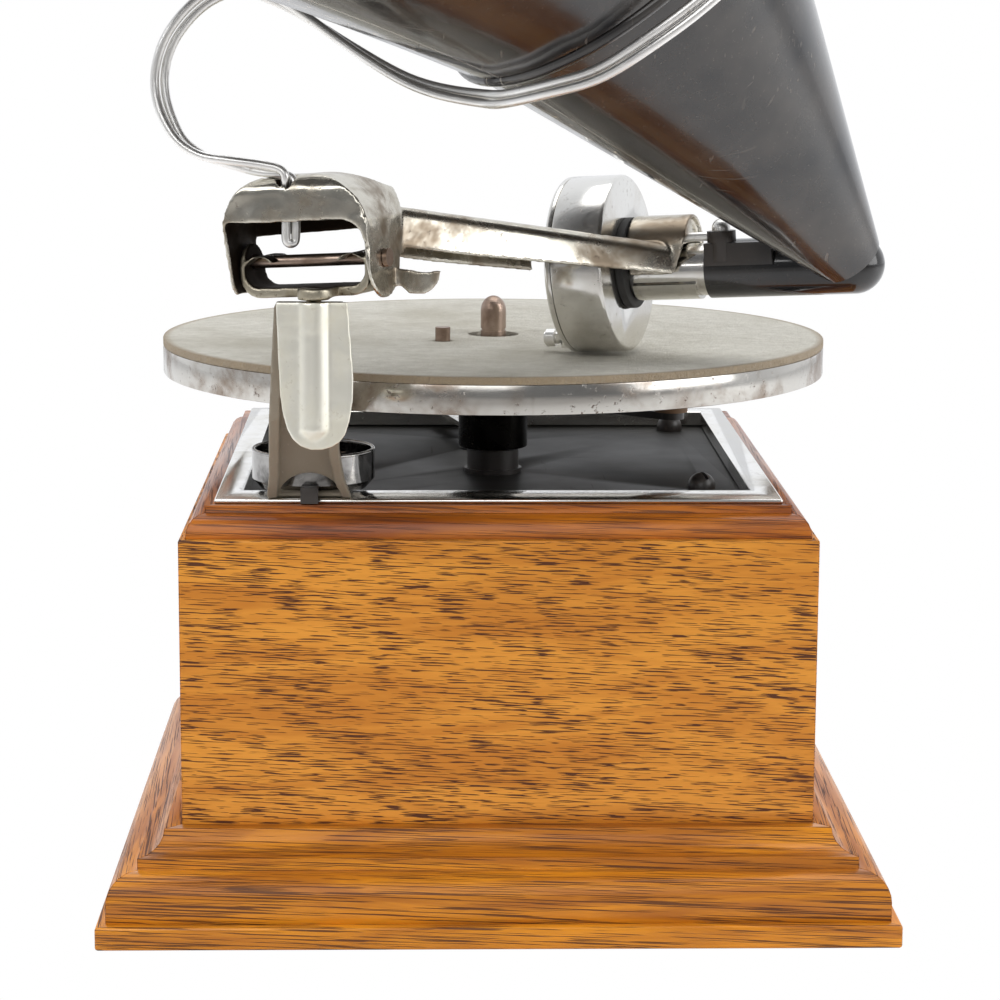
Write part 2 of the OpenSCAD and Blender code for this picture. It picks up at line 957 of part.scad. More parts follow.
// Front outline of the bracket, narrow above its splayed foot
module post_outline(inset) {
  w = foot_w / 2 - inset;
  translate([post_x, 0, bed_z])
    rotate([90, 0, 0])
      linear_extrude(140)
        polygon([
          [-w - 1.2, 0], [w, 0], [w, 5], [w - 1.6, 10], [w - 2.6, 18], [w - 2.4, 36],
          [w - 0.6, 60], [3.9 - w, 60], [1.2 - w, 25], [0.4 - w, 12]
        ]);
}

// Channel-shaped bracket: web, two flanges, arched foot and a tab under the cup
module bracket_post() {
  web = [for (p = post_rear) p - [bracket_t, 0]];
  color("tan")
    difference() {
      union() {
        difference() {
          intersection() {
            post_side(concat(post_rear, post_front), 30);
            post_outline(0);
          }
          intersection() {
            post_side(concat(web, post_front - [for (p = post_front) [9, -1]]), 30);
            post_outline(flange_w);
          }
          translate([post_x, -60, bed_z + 3.3])
            rotate([90, 0, 0])
              cylinder(r = 8.2, h = 14);
        }
        translate([post_x - 8.2, -69, frame_z + 0.2])
          cube([16.4, 26, 1.2]);
        translate([cup_at.x, cup_at.y, bed_z])
          cylinder(r = 2.8, h = frame_z - bed_z + 0.5);
      }
      translate([cup_at.x, cup_at.y, bed_z - 1])
        cylinder(r = 1.6 + fit, h = 9);
    }
}

// Plate in front of the bracket with a half-round rib over the pivot pin,
// and two tabs that carry the pin
module bearing_plate() {
  low = bed_z + 24.4;
  color("gainsboro")
    difference() {
      union() {
        translate([-44.1, -112.2, low])
          rotate([90, 0, 0])
            linear_extrude(1.2)
              polygon([
                [-8.9, 34.1], [-8.5, 22], [-8.1, 12.6], [-7.5, 8], [-6.5, 4.3], [-5.2, 1.9],
                [-3.3, 0.2], [-1, -0.6], [1.6, -0.6], [3.8, 0], [5.6, 1.1], [7.1, 2.9],
                [8.2, 6.5], [8.9, 11.2], [9.1, 16], [8.4, 25.5], [7.8, 34.1]
              ]);
        translate([pivot_at.x, pivot_at.y, low + 4])
          cylinder(r = 4.2, h = 30.1);
        translate([pivot_at.x, pivot_at.y, low + 1.6])
          cylinder(r1 = 2.6, r2 = 4.2, h = 2.4);
        for (h = [[9.5, 18.3], [27, 12.7]])
          translate([pivot_at.x - 4, pivot_at.y, low + h[0]])
            cube([6.1, h[1], 3]);
      }
      translate([pivot_at.x, pivot_at.y, low + 6.5])
        cylinder(r = pivot_r + fit, h = 40);
      for (h = [[6.5, 3], [12.5, 14.5], [30, 10]])
        translate([0, 0, low + h[0]]) {
          translate([pivot_at.x, pivot_at.y, 0])
            cylinder(r = 3.2, h = h[1]);
          translate([pivot_at.x - 6, pivot_at.y, 0])
            cube([12, 8, h[1]]);
        }
    }
}

// Hook that holds the bracket's foot over the front edge of the frame
module clamp_hook() {
  color("black")
    translate([-49.4, 0, 0]) {
      translate([0, -72.9, ledge_z + 0.3])
        cube([4.4, 1.6, 4]);
      translate([0, -72.9, frame_z + 1.5])
        cube([4.4, 4.5, 1.5]);
    }
}

// Nickel needle cup, its foot slotted for the bracket's tab that its stud clamps
module needle_cup() {
  side = [
    [0, 0], [cup_r - 3.2, 0], [cup_r - 3.2, -1.3], [cup_r - 2.1, -1.3], [cup_r, 1.1], [cup_r, cup_h],
    [cup_r - 0.8, cup_h], [cup_r - 0.8, 1.4], [cup_r - 2.4, 0.8], [0, 0.8]
  ];
  color("silver")
    translate([cup_at.x, cup_at.y, frame_z + 1.5]) {
      difference() {
        rotate_extrude()
          polygon(side);
        translate([-8.6, -20, -2])
          cube([17.2, 20, 2]);
      }
      translate([0, 0, cup_h])
        rotate_extrude()
          translate([cup_r - 0.4, 0])
            circle(0.5, $fn = 24);
      translate([0, 0, -12])
        cylinder(r = 1.6, h = 12.5);
      translate([0, 0, bed_under - frame_z - 4])
        cylinder(r = 3.4, h = 2.4);
      cylinder(r = 3, h = 1.4);
    }
}

// Outline of a U with rounded lower corners, up to the height top
module band_outline(w, low, r, top) {
  translate([r - w, low])
    square([2 * (w - r), top - low]);
  translate([-w, low + r])
    square([2 * w, top - low - r]);
  for (s = [-1, 1])
    translate([s * (w - r), low + r])
      circle(r);
}

// U-shaped swivel bracket with the vertical pivot pin riveted into its nose
module swivel_bracket() {
  ear_in = ear_gap / 2;
  ear_out = ear_in + 1.4;
  nose = [4.4, -10.1];
  color("tan")
    union() {
      at_head()
        difference() {
          union() {
            rotate([90, 0, 0])
              linear_extrude(12, center = true)
                difference() {
                  band_outline(ear_out, -8.2, 5, -1.2);
                  band_outline(ear_in, -5.8, 3.6, 0);
                }
            translate([0, 0, -8.2])
              flat_bar(nose, [4.4, 0], 4, 2.4);
            intersection() {
              translate([0, 0, -1.5])
                rod_x(6, -ear_out, ear_out);
              for (x = [-ear_out, ear_in])
                translate([x, -7, -1.6])
                  cube([1.4, 14, 8]);
            }
          }
          rod_x(hinge_r + 0.02, -20, 20);
        }
      translate([pivot_at.x, pivot_at.y, bed_z + 58.8])
        cylinder(r = 3.7, h = 3);
      translate([pivot_at.x, pivot_at.y, bed_z + 32])
        cylinder(r = pivot_r, h = 30);
    }
}

// Arm assembly

module hinge_pin() {
  color("saddlebrown")
    at_head() {
      rod_x(hinge_r, -cheek_out - 1.2, cheek_out + 0.4);
      rod_x(2.2, cheek_out + 0.1, cheek_out + 1.2);
    }
}

// Plan of the hood behind its front wall, as [x, y] at the head
function hood_plan(g) = [
  [g - cheek_out, -30], [cheek_out - g, -30], [cheek_out - g, 12.4], [4.6, 23.8 - g], [g - cheek_out, 8 - g]
];

// Space of the hood, drawn in by g on every side
module hood_space(g, low) {
  r = hood_round - g;
  h = hood_h - g;
  front = g - 10.4;
  roll = 4 - g;
  edge = [for (a = [180 : -10 : 90]) [front + roll + roll * cos(a), h - roll + roll * sin(a)]];
  intersection() {
    translate([0, 0, low])
      linear_extrude(60)
        polygon(hood_plan(g));
    rotate([90, 0, 0])
      linear_extrude(80, center = true) {
        translate([g - cheek_out, -20])
          square([2 * (cheek_out - g), h + 20 - r]);
        translate([g - cheek_out + r, -20])
          square([2 * (cheek_out - g - r), h + 20]);
        for (s = [-1, 1])
          translate([s * (cheek_out - g - r), h - r])
            circle(r);
      }
    rotate([90, 0, 93.1])
      linear_extrude(80, center = true)
        polygon(concat([[front, -20]], edge, [[1, h], [26, h - 9], [26, -20]]));
  }
}

module trough_space(g, from, to) {
  r = 3 - g;
  translate(trough_at)
    rotate(trough_turn)
      rotate([90, 0, 90])
        translate([0, 0, from])
          linear_extrude(to - from) {
            translate([g, g > 0 ? -trough_h - 5 : -trough_h])
              square([trough_w - 2 * g, g > 0 ? trough_h + 5 - g - r : trough_h - r]);
            translate([g + r, -trough_h])
              square([trough_w - 2 * g - 2 * r, trough_h - g]);
            for (y = [g + r, trough_w - g - r])
              translate([y, -g - r])
                circle(r);
          }
}

// Arch over the throat tube: outer when g is 0, inner when g is the sheet
module saddle_space(g, from, to) {
  translate([0, tube_y, tube_z]) {
    translate([0, 0, 5.5])
      rod_x(8.5 - g, from, to);
    translate([from, g - 8.5, g > 0 ? -12 : -0.5])
      cube([to - from, 2 * (8.5 - g), g > 0 ? 17.5 : 6]);
  }
}

// Pressed arm: hood with two cheeks, trough, and the saddle over the throat tube
module arm() {
  cheek = cheek_out - cheek_in;
  color("silver")
    at_head()
      difference() {
        union() {
          difference() {
            union() {
              hood_space(0, 5.5);
              trough_space(0, -4, trough_len);
            }
            hood_space(cheek, -30);
            trough_space(arm_t, -9, trough_len + 1);
            translate([-30, -40, -10])
              cube([60, 33, 19.7]);
            translate(trough_at)
              rotate(trough_turn)
                translate([0, trough_w + 1, 0])
                  rotate([90, 0, 0])
                    linear_extrude(trough_w + 2)
                      polygon([[20, -16], [20, -10], [84, -7.8], [84, -16]]);
            translate([0, tube_y, drum_z])
              rod_x(box_r + 0.9, drum_front - 3, drum_back + 0.6);
            saddle_space(arm_t, 54, 84);
          }
          difference() {
            saddle_space(0, 54, 69.5);
            saddle_space(arm_t, 53, 71);
          }
          intersection() {
            saddle_space(arm_t - 0.1, 56, 68.3);
            translate([50, tube_y - 8, tube_z + throat_r + 0.1])
              cube([30, 16, 10]);
          }
          // Cheeks that turn on the hinge pin
          rod_x(9.4, cheek_in, cheek_out);
          translate([cheek_in, -9, 0])
            cube([cheek, 21, 10]);
          rod_x(7.2, -cheek_out, -cheek_in);
          translate([-cheek_out, 0, 0])
            rotate([90, 0, 90])
              linear_extrude(cheek)
                polygon([[-11.2, 10.5], [-8.3, -5], [-6.4, -7.2], [2.5, -7.2], [7.5, 10.5]]);
          // Corner of the mouth above the right cheek
          translate([0, -8.5, 0])
            rotate([90, 0, 0])
              linear_extrude(1.2)
                polygon([
                  [12, 10.2], [12, 9.7], [14.6, 8.7], [16.4, 7], [17.2, 4.5], [cheek_out, 4], [cheek_out, 10.2]
                ]);
          // Finger tab below the right cheek
          translate([0, 6.5, 0])
            rotate([90, 0, 0])
              linear_extrude(1)
                polygon([
                  [cheek_in + 0.2, -2.6], [25.6, -4.1], [29.8, -3.7], [28.6, -6.8], [27, -8.5],
                  [25.2, -9.3], [21.4, -9.3], [19.2, -7.3], [cheek_in + 0.2, -6.6]
                ]);
        }
        rod_x(hinge_r + fit, -25, 25);
        translate([0, tube_y, drum_z])
          rod_x(bush_r + 1, drum_back - 1, drum_back + 2.4);
        translate([50, tube_y - 5, tube_z + 8.5])
          rod_x(1.15 + fit, 0, 30);
        // Lower right corner of the saddle's near leg
        translate([0, tube_y - 6.5, tube_z])
          rotate([90, 0, 0])
            linear_extrude(2.5)
              polygon([[63.5, -1], [66.4, 0.2], [67.3, 2.6], [68.5, 5.5], [69.3, 8.5], [72, 8.5], [72, -1]]);
        // Opening for the two strands of the horn wire
        translate([-0.4, 0, 13])
          rotate([0, head_tilt, 0])
            linear_extrude(20) {
              translate([-6, -8.3])
                square([4.9, 3]);
              for (p = [[-6, -6.8], [-1.1, -6.8], [-2.6, -8.2], [-1.2, -8.4]])
                translate(p)
                  circle(wire_r + 0.55);
            }
      }
}

// Half-round clip below the throat tube
module tube_clip() {
  color("silver")
    at_tube()
      difference() {
        rod_x(7.45, 54.5, 71);
        rod_x(throat_r + fit, 54, 72);
        translate([50, -10, -3.2])
          cube([24, 20, 14]);
      }
}

// Soundbox

module soundbox_case() {
  color("silver")
    difference() {
      at_drum()
        turned_x([
          [20.9, drum_front + 1.8], [box_r, drum_front + 1.8], [box_r, drum_back - 0.6], [box_r - 0.6, drum_back],
          [0, drum_back], [0, drum_back - 2], [17.6, drum_back - 2], [17.6, drum_front + 5.2], [20.9, drum_front + 5.2]
        ]);
      at_tube()
        rod_x(throat_r + 0.3, drum_back - 5, drum_back + 1);
    }
}

module soundbox_ring() {
  color("silver")
    at_drum()
      turned_x([
        [17.4, drum_front], [box_r - 0.6, drum_front], [box_r, drum_front + 0.6],
        [box_r, drum_front + 1.75], [17.4, drum_front + 1.75]
      ]);
}

module soundbox_gaskets() {
  color("black")
    at_drum()
      for (x = [1.8, 4])
        turned_x([
          [18, drum_front + x], [20.8, drum_front + x], [20.8, drum_front + x + 1.15], [18, drum_front + x + 1.15]
        ]);
}

module diaphragm() {
  color("lemonchiffon")
    at_drum()
      turned_x([[0, drum_front + 3], [20.7, drum_front + 3], [20.7, drum_front + 3.95], [0, drum_front + 3.95]]);
}

// Stylus bar on the front face, with the socket for the needle
module stylus_bar() {
  color("silver")
    at_drum()
      difference() {
        union() {
          translate([drum_front - 2.6, -1.5, -18])
            cube([2, 3, 19.5]);
          rod_x(1.4, drum_front - 2.6, drum_front + 2.98);
          translate([drum_front - 2.2, 0, -21.2])
            cylinder(r = 2.1, h = 5);
          translate([drum_front - 1.7, -9, -17.5])
            rotate([-90, 0, 0])
              cylinder(r = 0.9, h = 18);
        }
        translate([drum_front - 2.2, 0, -22])
          cylinder(r = 0.9, h = 5.6);
        translate([0, 0, -18.6])
          rod_x(0.75, drum_front - 6, drum_front - 2.7);
      }
}

module needle_screw() {
  color("silver")
    at_drum()
      translate([0, 0, -18.6]) {
        rod_x(0.7, drum_front - 6, drum_front - 3.2);
        rod_x(1.6, drum_front - 8.6, drum_front - 4.4);
        rod_x(2.3, drum_front - 8, drum_front - 5.6);
      }
}

module rubber_bush() {
  color("black")
    difference() {
      at_drum()
        rod_x(bush_r, drum_back, drum_back + 2.1);
      at_tube()
        rod_x(throat_r + fit, drum_back - 1, drum_back + 4);
    }
}

// Throat, elbow and clamp

module throat_tube() {
  color("silver")
    at_tube()
      difference() {
        rod_x(throat_r, drum_back - 1.6, elbow_x + 4.6);
        rod_x(throat_r - 1, drum_back - 3, elbow_x + 6);
      }
}

// Cone around the horn's axis, drawn in by g from the outer surface
module horn_solid(g, from, to) {
  translate([0, 0, from])
    cylinder(r1 = from * tan(cone_half) - g, r2 = to * tan(cone_half) - g, h = to - from);
}

// Black elbow: a sleeve on the throat tube, turned up into the horn
module elbow() {
  color("black")
    difference() {
      union() {
        at_tube() {
          difference() {
            rod_x(elbow_r, elbow_x, elbow_end);
            rod_x(throat_r + 0.02, elbow_x - 1, elbow_x + 5);
          }
          translate([elbow_end, 0, 0])
            sphere(elbow_r);
        }
        at_horn()
          horn_solid(horn_t + fit, elbow_s, elbow_s + 13);
      }
      at_tube()
        rod_x(throat_r - 1, elbow_x - 1, elbow_end);
      at_horn()
        horn_solid(horn_t + 1.1, elbow_s, elbow_s + 20);
    }
}

// Lug on the elbow with a boss and washer for its two screws
module elbow_clamp() {
  color("black")
    at_tube()
      difference() {
        union() {
          translate([elbow_x + 0.6, -8.3, 1.3])
            cube([17.4, 4.6, 5.6]);
          translate([78.4, -6.2, 2.4])
            cylinder(r = 2.8, h = 5);
          translate([78.4, -6.2, 7.1])
            cylinder(r = 3.6, h = 2.8);
        }
        rod_x(elbow_r + fit, elbow_x, elbow_x + 22);
        translate([0, -5, 8.5])
          rod_x(1.15 + fit, elbow_x, 76.9);
        translate([78.4, -6.2, 5.9])
          cylinder(r = 1.2 + fit, h = 8);
      }
}

// Link from the clamp into the saddle, and the upright clamp screw
module clamp_screws() {
  color("silver")
    at_tube() {
      translate([0, -5, 8.5])
        rod_x(1.15, 58.5, 76.8);
      translate([78.4, -6.2, 9.95])
        domed_screw(2.3, 2.9, 1.2, 3.9);
    }
}

// Horn

// Cone of the horn with a seam strip and the bead ring at its end
module horn_cone() {
  color("black")
    difference() {
      at_horn() {
        difference() {
          horn_solid(0, horn_small, bead_s - 0.6);
          horn_solid(horn_t, horn_small - 1, bead_s + 1);
        }
        translate([0, 0, bead_s])
          rotate_extrude($fn = 96)
            translate([bead_ring_r - 0.2, 0])
              circle(bead_r, $fn = 24);
      }
      at_tube()
        rod_x(elbow_r + 0.1, elbow_end - 30, elbow_end);
    }
}

module horn_bell() {
  n = 16;
  start = bead_r + 0.1;
  outer = [for (i = [0 : n]) [bell_r(start + (bell_len - start) * i / n), start + (bell_len - start) * i / n]];
  inner = [for (i = [n : -1 : 0]) outer[i] - [horn_t, 0]];
  color("black")
    at_horn()
      translate([0, 0, bead_s]) {
        rotate_extrude($fn = 96)
          polygon(concat(outer, inner));
        translate([0, 0, bell_len])
          rotate_extrude($fn = 96)
            translate([bell_r(bell_len) - 0.4, 0])
              circle(1.6, $fn = 24);
      }
}

// Middle line of the doubled wire: up through the hood, round to the left,
// under the bead ring and up its right side
wire_route = [
  [-49.68, -105.8, 72.5], [-49.68, -105.8, 83], [-50.2, -105.8, 86.6], [-52.5, -105.7, 88.2],
  [-57, -105.7, 88.9], [-63.7, -105.5, 90.2], [-70, -103.5, 91.5], [-75, -102, 94.6], [-78, -101, 99.3],
  [-79.9, -100, 104.9], [-80.1, -99.5, 110.8], [-78.4, -99.5, 116.8], [-75.3, -99.5, 121.8],
  [-71, -99.5, 126.2], [-65.9, -100, 129.2], [-60.5, -100.5, 130.1], [-54.7, -101.5, 128.3],
  [-47.3, -103, 124.5], [-35.7, -106.5, 116.9], [-24.1, -110.5, 110.1], [-15, -114.3, 107],
  [-5, -119, 105.6], [0, -126.2, 105.9], [10.8, -137.8, 109], [20.1, -142.5, 112.2], [30.3, -147, 119],
  [41.2, -149, 127.2], [52, -148.5, 137.5], [60, -145, 148.5], [64.5, -139, 158.5], [67.5, -132.5, 166],
  [71, -129, 171]
];
// Side of the middle line on which the first strand lies, at each of its points
wire_side = [
  [1.17, 0.4, 0], [1.17, 0.4, 0], [0.95, 0.8, -0.6], [0.6, 1.15, -1], [0, 0.8, -1], [0, 1.1, -0.5],
  [0.1, 1.2, 0], [0.3, 1.1, 0.3], [0.8, 0.8, 0.4], [1.1, 0.45, 0.1], [1.1, 0.45, 0], [1.05, 0.45, -0.3],
  [0.85, 0.45, -0.7], [0.6, 0.5, -0.9], [0.3, 0.6, -1.05], [0, 0.8, -0.9], [-0.2, 1, -0.6],
  [-0.1, 1.15, -0.2], [0.1, 1.15, 0.2], [0.2, 1.05, 0.5], [0.2, 0.9, 0.75], [0.2, 0.7, 0.95],
  [0.4, 0.3, 1.05], [0.4, 0.3, 1.05], [-0.1, 0.5, 1.05], [-0.6, 0.4, 0.95], [-0.7, 0.4, 0.85],
  [-0.8, 0.4, 0.75], [-0.9, 0.3, 0.6], [-1, 0.3, 0.5], [-1, 0.3, 0.5], [-1, 0.3, 0.5]
];
// Point between the hand-set points, by a smooth curve through them
function curve_point(p, i, t) =
  let (a = p[max(i - 1, 0)], b = p[i], c = p[i + 1], d = p[min(i + 2, len(p) - 1)])
  0.5 * (2 * b + (c - a) * t + (2 * a - 5 * b + 4 * c - d) * t * t + (3 * b - a - 3 * c + d) * t * t * t);
function smooth(p, per) = concat(
  [for (i = [0 : len(p) - 2], j = [0 : per - 1]) curve_point(p, i, j / per)],
  [p[len(p) - 1]]
);
function heading(p, i) =
  let (v = p[min(i + 1, len(p) - 1)] - p[max(i - 1, 0)])
  v / norm(v);

// Doubled wire, its two strands joined by a bend below the hood
module horn_wire() {
  sides = 8;
  off = wire_r + 0.1;
  middle = smooth(wire_route, 3);
  toward = smooth(wire_side, 3);
  count = len(middle);
  strand = [
    for (i = [0 : count - 1])
      let (h = heading(middle, i), s = toward[i] - (toward[i] * h) * h)
      off * s / norm(s)
  ];
  bend = [for (a = [30 : 30 : 150]) middle[0] - cos(a) * strand[0] - off * sin(a) * heading(middle, 0)];
  path = concat(
    [for (i = [count - 1 : -1 : 0]) middle[i] - strand[i]],
    bend,
    [for (i = [0 : count - 1]) middle[i] + strand[i]]
  );
  last = len(path) - 1;
  rings = [
    for (i = [0 : last], k = [0 : sides - 1])
      let (h = heading(path, i), c = cross(h, [0, 1, 0]), e = c / norm(c), g = cross(h, e))
      path[i] + wire_r * (cos(360 * k / sides) * e + sin(360 * k / sides) * g)
  ];
  walls = [
    for (i = [0 : last - 1], k = [0 : sides - 1])
      [i * sides + k, (i + 1) * sides + k, (i + 1) * sides + (k + 1) % sides, i * sides + (k + 1) % sides]
  ];
  caps = [[for (k = [0 : sides - 1]) k], [for (k = [sides - 1 : -1 : 0]) last * sides + k]];
  color("silver")
    translate([0, 0, bed_z])
      polyhedron(rings, concat(walls, caps));
}

base_board();
base_mouldings();
case_front();
case_rear();
case_sides();
top_mouldings();
top_frame();
bedplate();
motor_screws();
motor_pillars();
lower_plate();
spindle_bush();
spindle();
worm_wheel();
turntable();
turntable_felt();
drive_pin();
intermediate_arbor();
intermediate_wheel();
spring_barrel();
barrel_lid();
mainspring();
winding_arbor();
crown_wheel();
ratchet_wheel();
click();
crank_shaft();
crank_arm();
crank_knob();
crank_bearing();
governor_shaft();
governor_springs();
governor_weights();
governor_disc();
speed_lever();
brake_stud();
brake_lever();
brake_pad();
bracket_post();
bearing_plate();
clamp_hook();
needle_cup();
swivel_bracket();
hinge_pin();
arm();
tube_clip();
horn_wire();
soundbox_case();
soundbox_ring();
soundbox_gaskets();
diaphragm();
stylus_bar();
needle_screw();
rubber_bush();
throat_tube();
elbow();
elbow_clamp();
clamp_screws();
horn_cone();
horn_bell();
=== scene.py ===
import json
import math
import bpy
import bmesh
from mathutils import Matrix, Vector, noise

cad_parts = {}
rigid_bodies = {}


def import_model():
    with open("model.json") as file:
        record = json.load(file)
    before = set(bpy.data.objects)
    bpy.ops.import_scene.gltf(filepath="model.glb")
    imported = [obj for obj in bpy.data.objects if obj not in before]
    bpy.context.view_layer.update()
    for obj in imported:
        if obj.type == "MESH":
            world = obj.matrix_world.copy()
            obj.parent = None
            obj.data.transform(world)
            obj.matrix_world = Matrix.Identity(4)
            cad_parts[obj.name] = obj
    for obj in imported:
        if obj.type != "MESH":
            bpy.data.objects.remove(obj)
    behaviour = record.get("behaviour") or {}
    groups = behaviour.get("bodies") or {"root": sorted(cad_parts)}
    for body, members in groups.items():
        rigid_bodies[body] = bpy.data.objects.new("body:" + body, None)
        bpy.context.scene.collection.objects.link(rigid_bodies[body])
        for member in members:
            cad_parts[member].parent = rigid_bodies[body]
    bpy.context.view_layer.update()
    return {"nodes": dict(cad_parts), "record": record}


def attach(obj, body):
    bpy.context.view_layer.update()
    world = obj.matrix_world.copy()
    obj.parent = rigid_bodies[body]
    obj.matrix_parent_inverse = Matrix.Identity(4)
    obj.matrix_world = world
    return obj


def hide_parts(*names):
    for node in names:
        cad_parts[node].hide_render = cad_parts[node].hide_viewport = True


for leftOver in list(bpy.data.objects):
    bpy.data.objects.remove(leftOver)

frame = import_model()
nodes = frame["nodes"]
scene = bpy.context.scene
print("frame loaded,", len(nodes), "nodes")


# Camera, fitted to the straight edges of the case; angles in radians
camera = {
    "lens": 105.27, "sensor": 36, "nearClip": 0.01,
    "place": (-0.01779, -0.7886, 0.23492), "yaw": 0.0251, "pitch": 0.1757, "roll": 0.0045,
}


def buildCamera(c):
    data = bpy.data.cameras.new("photoCamera")
    data.lens = c["lens"]
    data.sensor_width = c["sensor"]
    data.clip_start = c["nearClip"]
    cam = bpy.data.objects.new("photoCamera", data)
    scene.collection.objects.link(cam)
    ahead = Vector((math.sin(c["yaw"]), math.cos(c["yaw"]), 0))
    side = Vector((math.cos(c["yaw"]), -math.sin(c["yaw"]), 0))
    look = ahead * math.cos(c["pitch"]) - Vector((0, 0, math.sin(c["pitch"])))
    top = Vector((0, 0, math.cos(c["pitch"]))) + ahead * math.sin(c["pitch"])
    right = side * math.cos(c["roll"]) + top * math.sin(c["roll"])
    up = top * math.cos(c["roll"]) - side * math.sin(c["roll"])
    turn = Matrix((right, up, -look)).transposed()
    cam.matrix_world = Matrix.Translation(c["place"]) @ turn.to_4x4()
    scene.camera = cam


buildCamera(camera)
print("camera set")


# Node helpers
def addNode(tree, kind, **values):
    n = tree.nodes.new(kind)
    for key, value in values.items():
        setattr(n, key, value)
    return n


def feed(tree, socket, value):
    if isinstance(value, bpy.types.NodeSocket):
        tree.links.new(value, socket)
    elif isinstance(value, (tuple, list)) and len(value) == 3 and socket.type == "RGBA":
        socket.default_value = (*value, 1)
    else:
        socket.default_value = value


def feedAll(tree, sockets, values):
    for socket, value in zip(sockets, values):
        feed(tree, socket, value)


def newGroup(name, inputs, outputs):
    tree = bpy.data.node_groups.new(name, "ShaderNodeTree")
    for label, kind, value in inputs:
        s = tree.interface.new_socket(name=label, in_out="INPUT", socket_type="NodeSocket" + kind)
        if value is not None:
            s.default_value = (*value, 1) if kind == "Color" else value
    for label, kind in outputs:
        tree.interface.new_socket(name=label, in_out="OUTPUT", socket_type="NodeSocket" + kind)
    return tree, addNode(tree, "NodeGroupInput"), addNode(tree, "NodeGroupOutput")


def maths(tree, kind, *values):
    n = addNode(tree, "ShaderNodeMath", operation=kind)
    feedAll(tree, n.inputs, values)
    return n.outputs[0]


def plus(tree, a, b):
    return maths(tree, "ADD", a, b)


def minus(tree, a, b):
    return maths(tree, "SUBTRACT", a, b)


def times(tree, a, b):
    return maths(tree, "MULTIPLY", a, b)


def absolute(tree, value):
    return maths(tree, "ABSOLUTE", value)


def vectorMaths(tree, kind, *values):
    n = addNode(tree, "ShaderNodeVectorMath", operation=kind)
    feedAll(tree, n.inputs, values)
    return n.outputs["Value" if kind in ("LENGTH", "DOT_PRODUCT") else "Vector"]


def split(tree, vector):
    n = addNode(tree, "ShaderNodeSeparateXYZ")
    feed(tree, n.inputs[0], vector)
    return n.outputs


def joined(tree, *values):
    n = addNode(tree, "ShaderNodeCombineXYZ")
    feedAll(tree, n.inputs, values)
    return n.outputs[0]


def fromAxis(tree, where):
    return vectorMaths(tree, "LENGTH", vectorMaths(tree, "MULTIPLY", where, (1, 1, 0)))


def ramp(tree, factor, stops, smooth=False):
    n = addNode(tree, "ShaderNodeValToRGB")
    n.color_ramp.interpolation = "EASE" if smooth else "LINEAR"
    band = n.color_ramp.elements
    while len(band) < len(stops):
        band.new(0.5)
    for e, (at, value) in zip(band, stops):
        e.position = at
        e.color = (value, value, value, 1) if isinstance(value, (int, float)) else (*value, 1)
    feed(tree, n.inputs[0], factor)
    return n.outputs[0]


def rise(tree, factor, edges, smooth=False):
    low, high = edges
    return ramp(tree, factor, [(low, 0), (high, 1)], smooth)


# Places of a Mix node's A, B and result sockets, which share their names
mixSockets = {"RGBA": (6, 7, 2), "VECTOR": (4, 5, 1)}


def mixed(tree, kind, factor, a, b, blend="MIX"):
    first, second, result = mixSockets[kind]
    n = addNode(tree, "ShaderNodeMix", data_type=kind, blend_type=blend)
    feedAll(tree, (n.inputs[0], n.inputs[first], n.inputs[second]), (factor, a, b))
    return n.outputs[result]


def mixColours(tree, factor, a, b):
    return mixed(tree, "RGBA", factor, a, b)


def tinted(tree, mask, share, colour, tint):
    return mixColours(tree, times(tree, mask, share), colour, tint)


def stretched(tree, vector, scale, turn=(0, 0, 0)):
    n = addNode(tree, "ShaderNodeMapping")
    feed(tree, n.inputs["Scale"], scale)
    feed(tree, n.inputs["Rotation"], turn)
    feed(tree, n.inputs["Vector"], vector)
    return n.outputs[0]


def cloud(tree, vector, waves=1.0, detail=3.0, rough=0.6, distort=0.0):
    n = addNode(tree, "ShaderNodeTexNoise")
    feed(tree, n.inputs["Scale"], waves)
    feed(tree, n.inputs["Detail"], detail)
    feed(tree, n.inputs["Roughness"], rough)
    feed(tree, n.inputs["Distortion"], distort)
    feed(tree, n.inputs["Vector"], vector)
    return n.outputs[0]


# Board coordinates: along the grain, across it and into the board
boardSlope = 0.8  # keeps the grain fine on faces that slope or lie flat


def makeBoardCoords():
    tree, source, out = newGroup("boardCoords", [("Vector", "Vector", None)], [("Vector", "Vector")])
    x, y, z = split(tree, source.outputs[0])
    frontal = maths(tree, "GREATER_THAN", absolute(tree, y), absolute(tree, x))
    boards = []
    for run, depth in ((y, x), (x, y)):
        across = minus(tree, z, times(tree, absolute(tree, depth), boardSlope))
        boards.append(joined(tree, run, across, depth))
    feed(tree, out.inputs[0], mixed(tree, "VECTOR", frontal, *boards))
    return tree


# Wood grain, in waves per metre along, across and into the board
grain = {
    "tone": (14, 120, 40), "toneEdges": (0.36, 0.64), "toneRough": 0.3,
    "fine": (90, 1500, 300), "fineEdges": (0.42, 0.7), "fineShare": 0.3, "fineHeight": 0.15,
    "pore": (125.0, 2900.0, 200.0), "poreLean": 120.0, "poreEdges": (0.56, 0.6),
    "poreRough": 0.25, "poreDepth": 0.9,
    "row": (22.0, 130.0), "rowShare": 0.3,
}


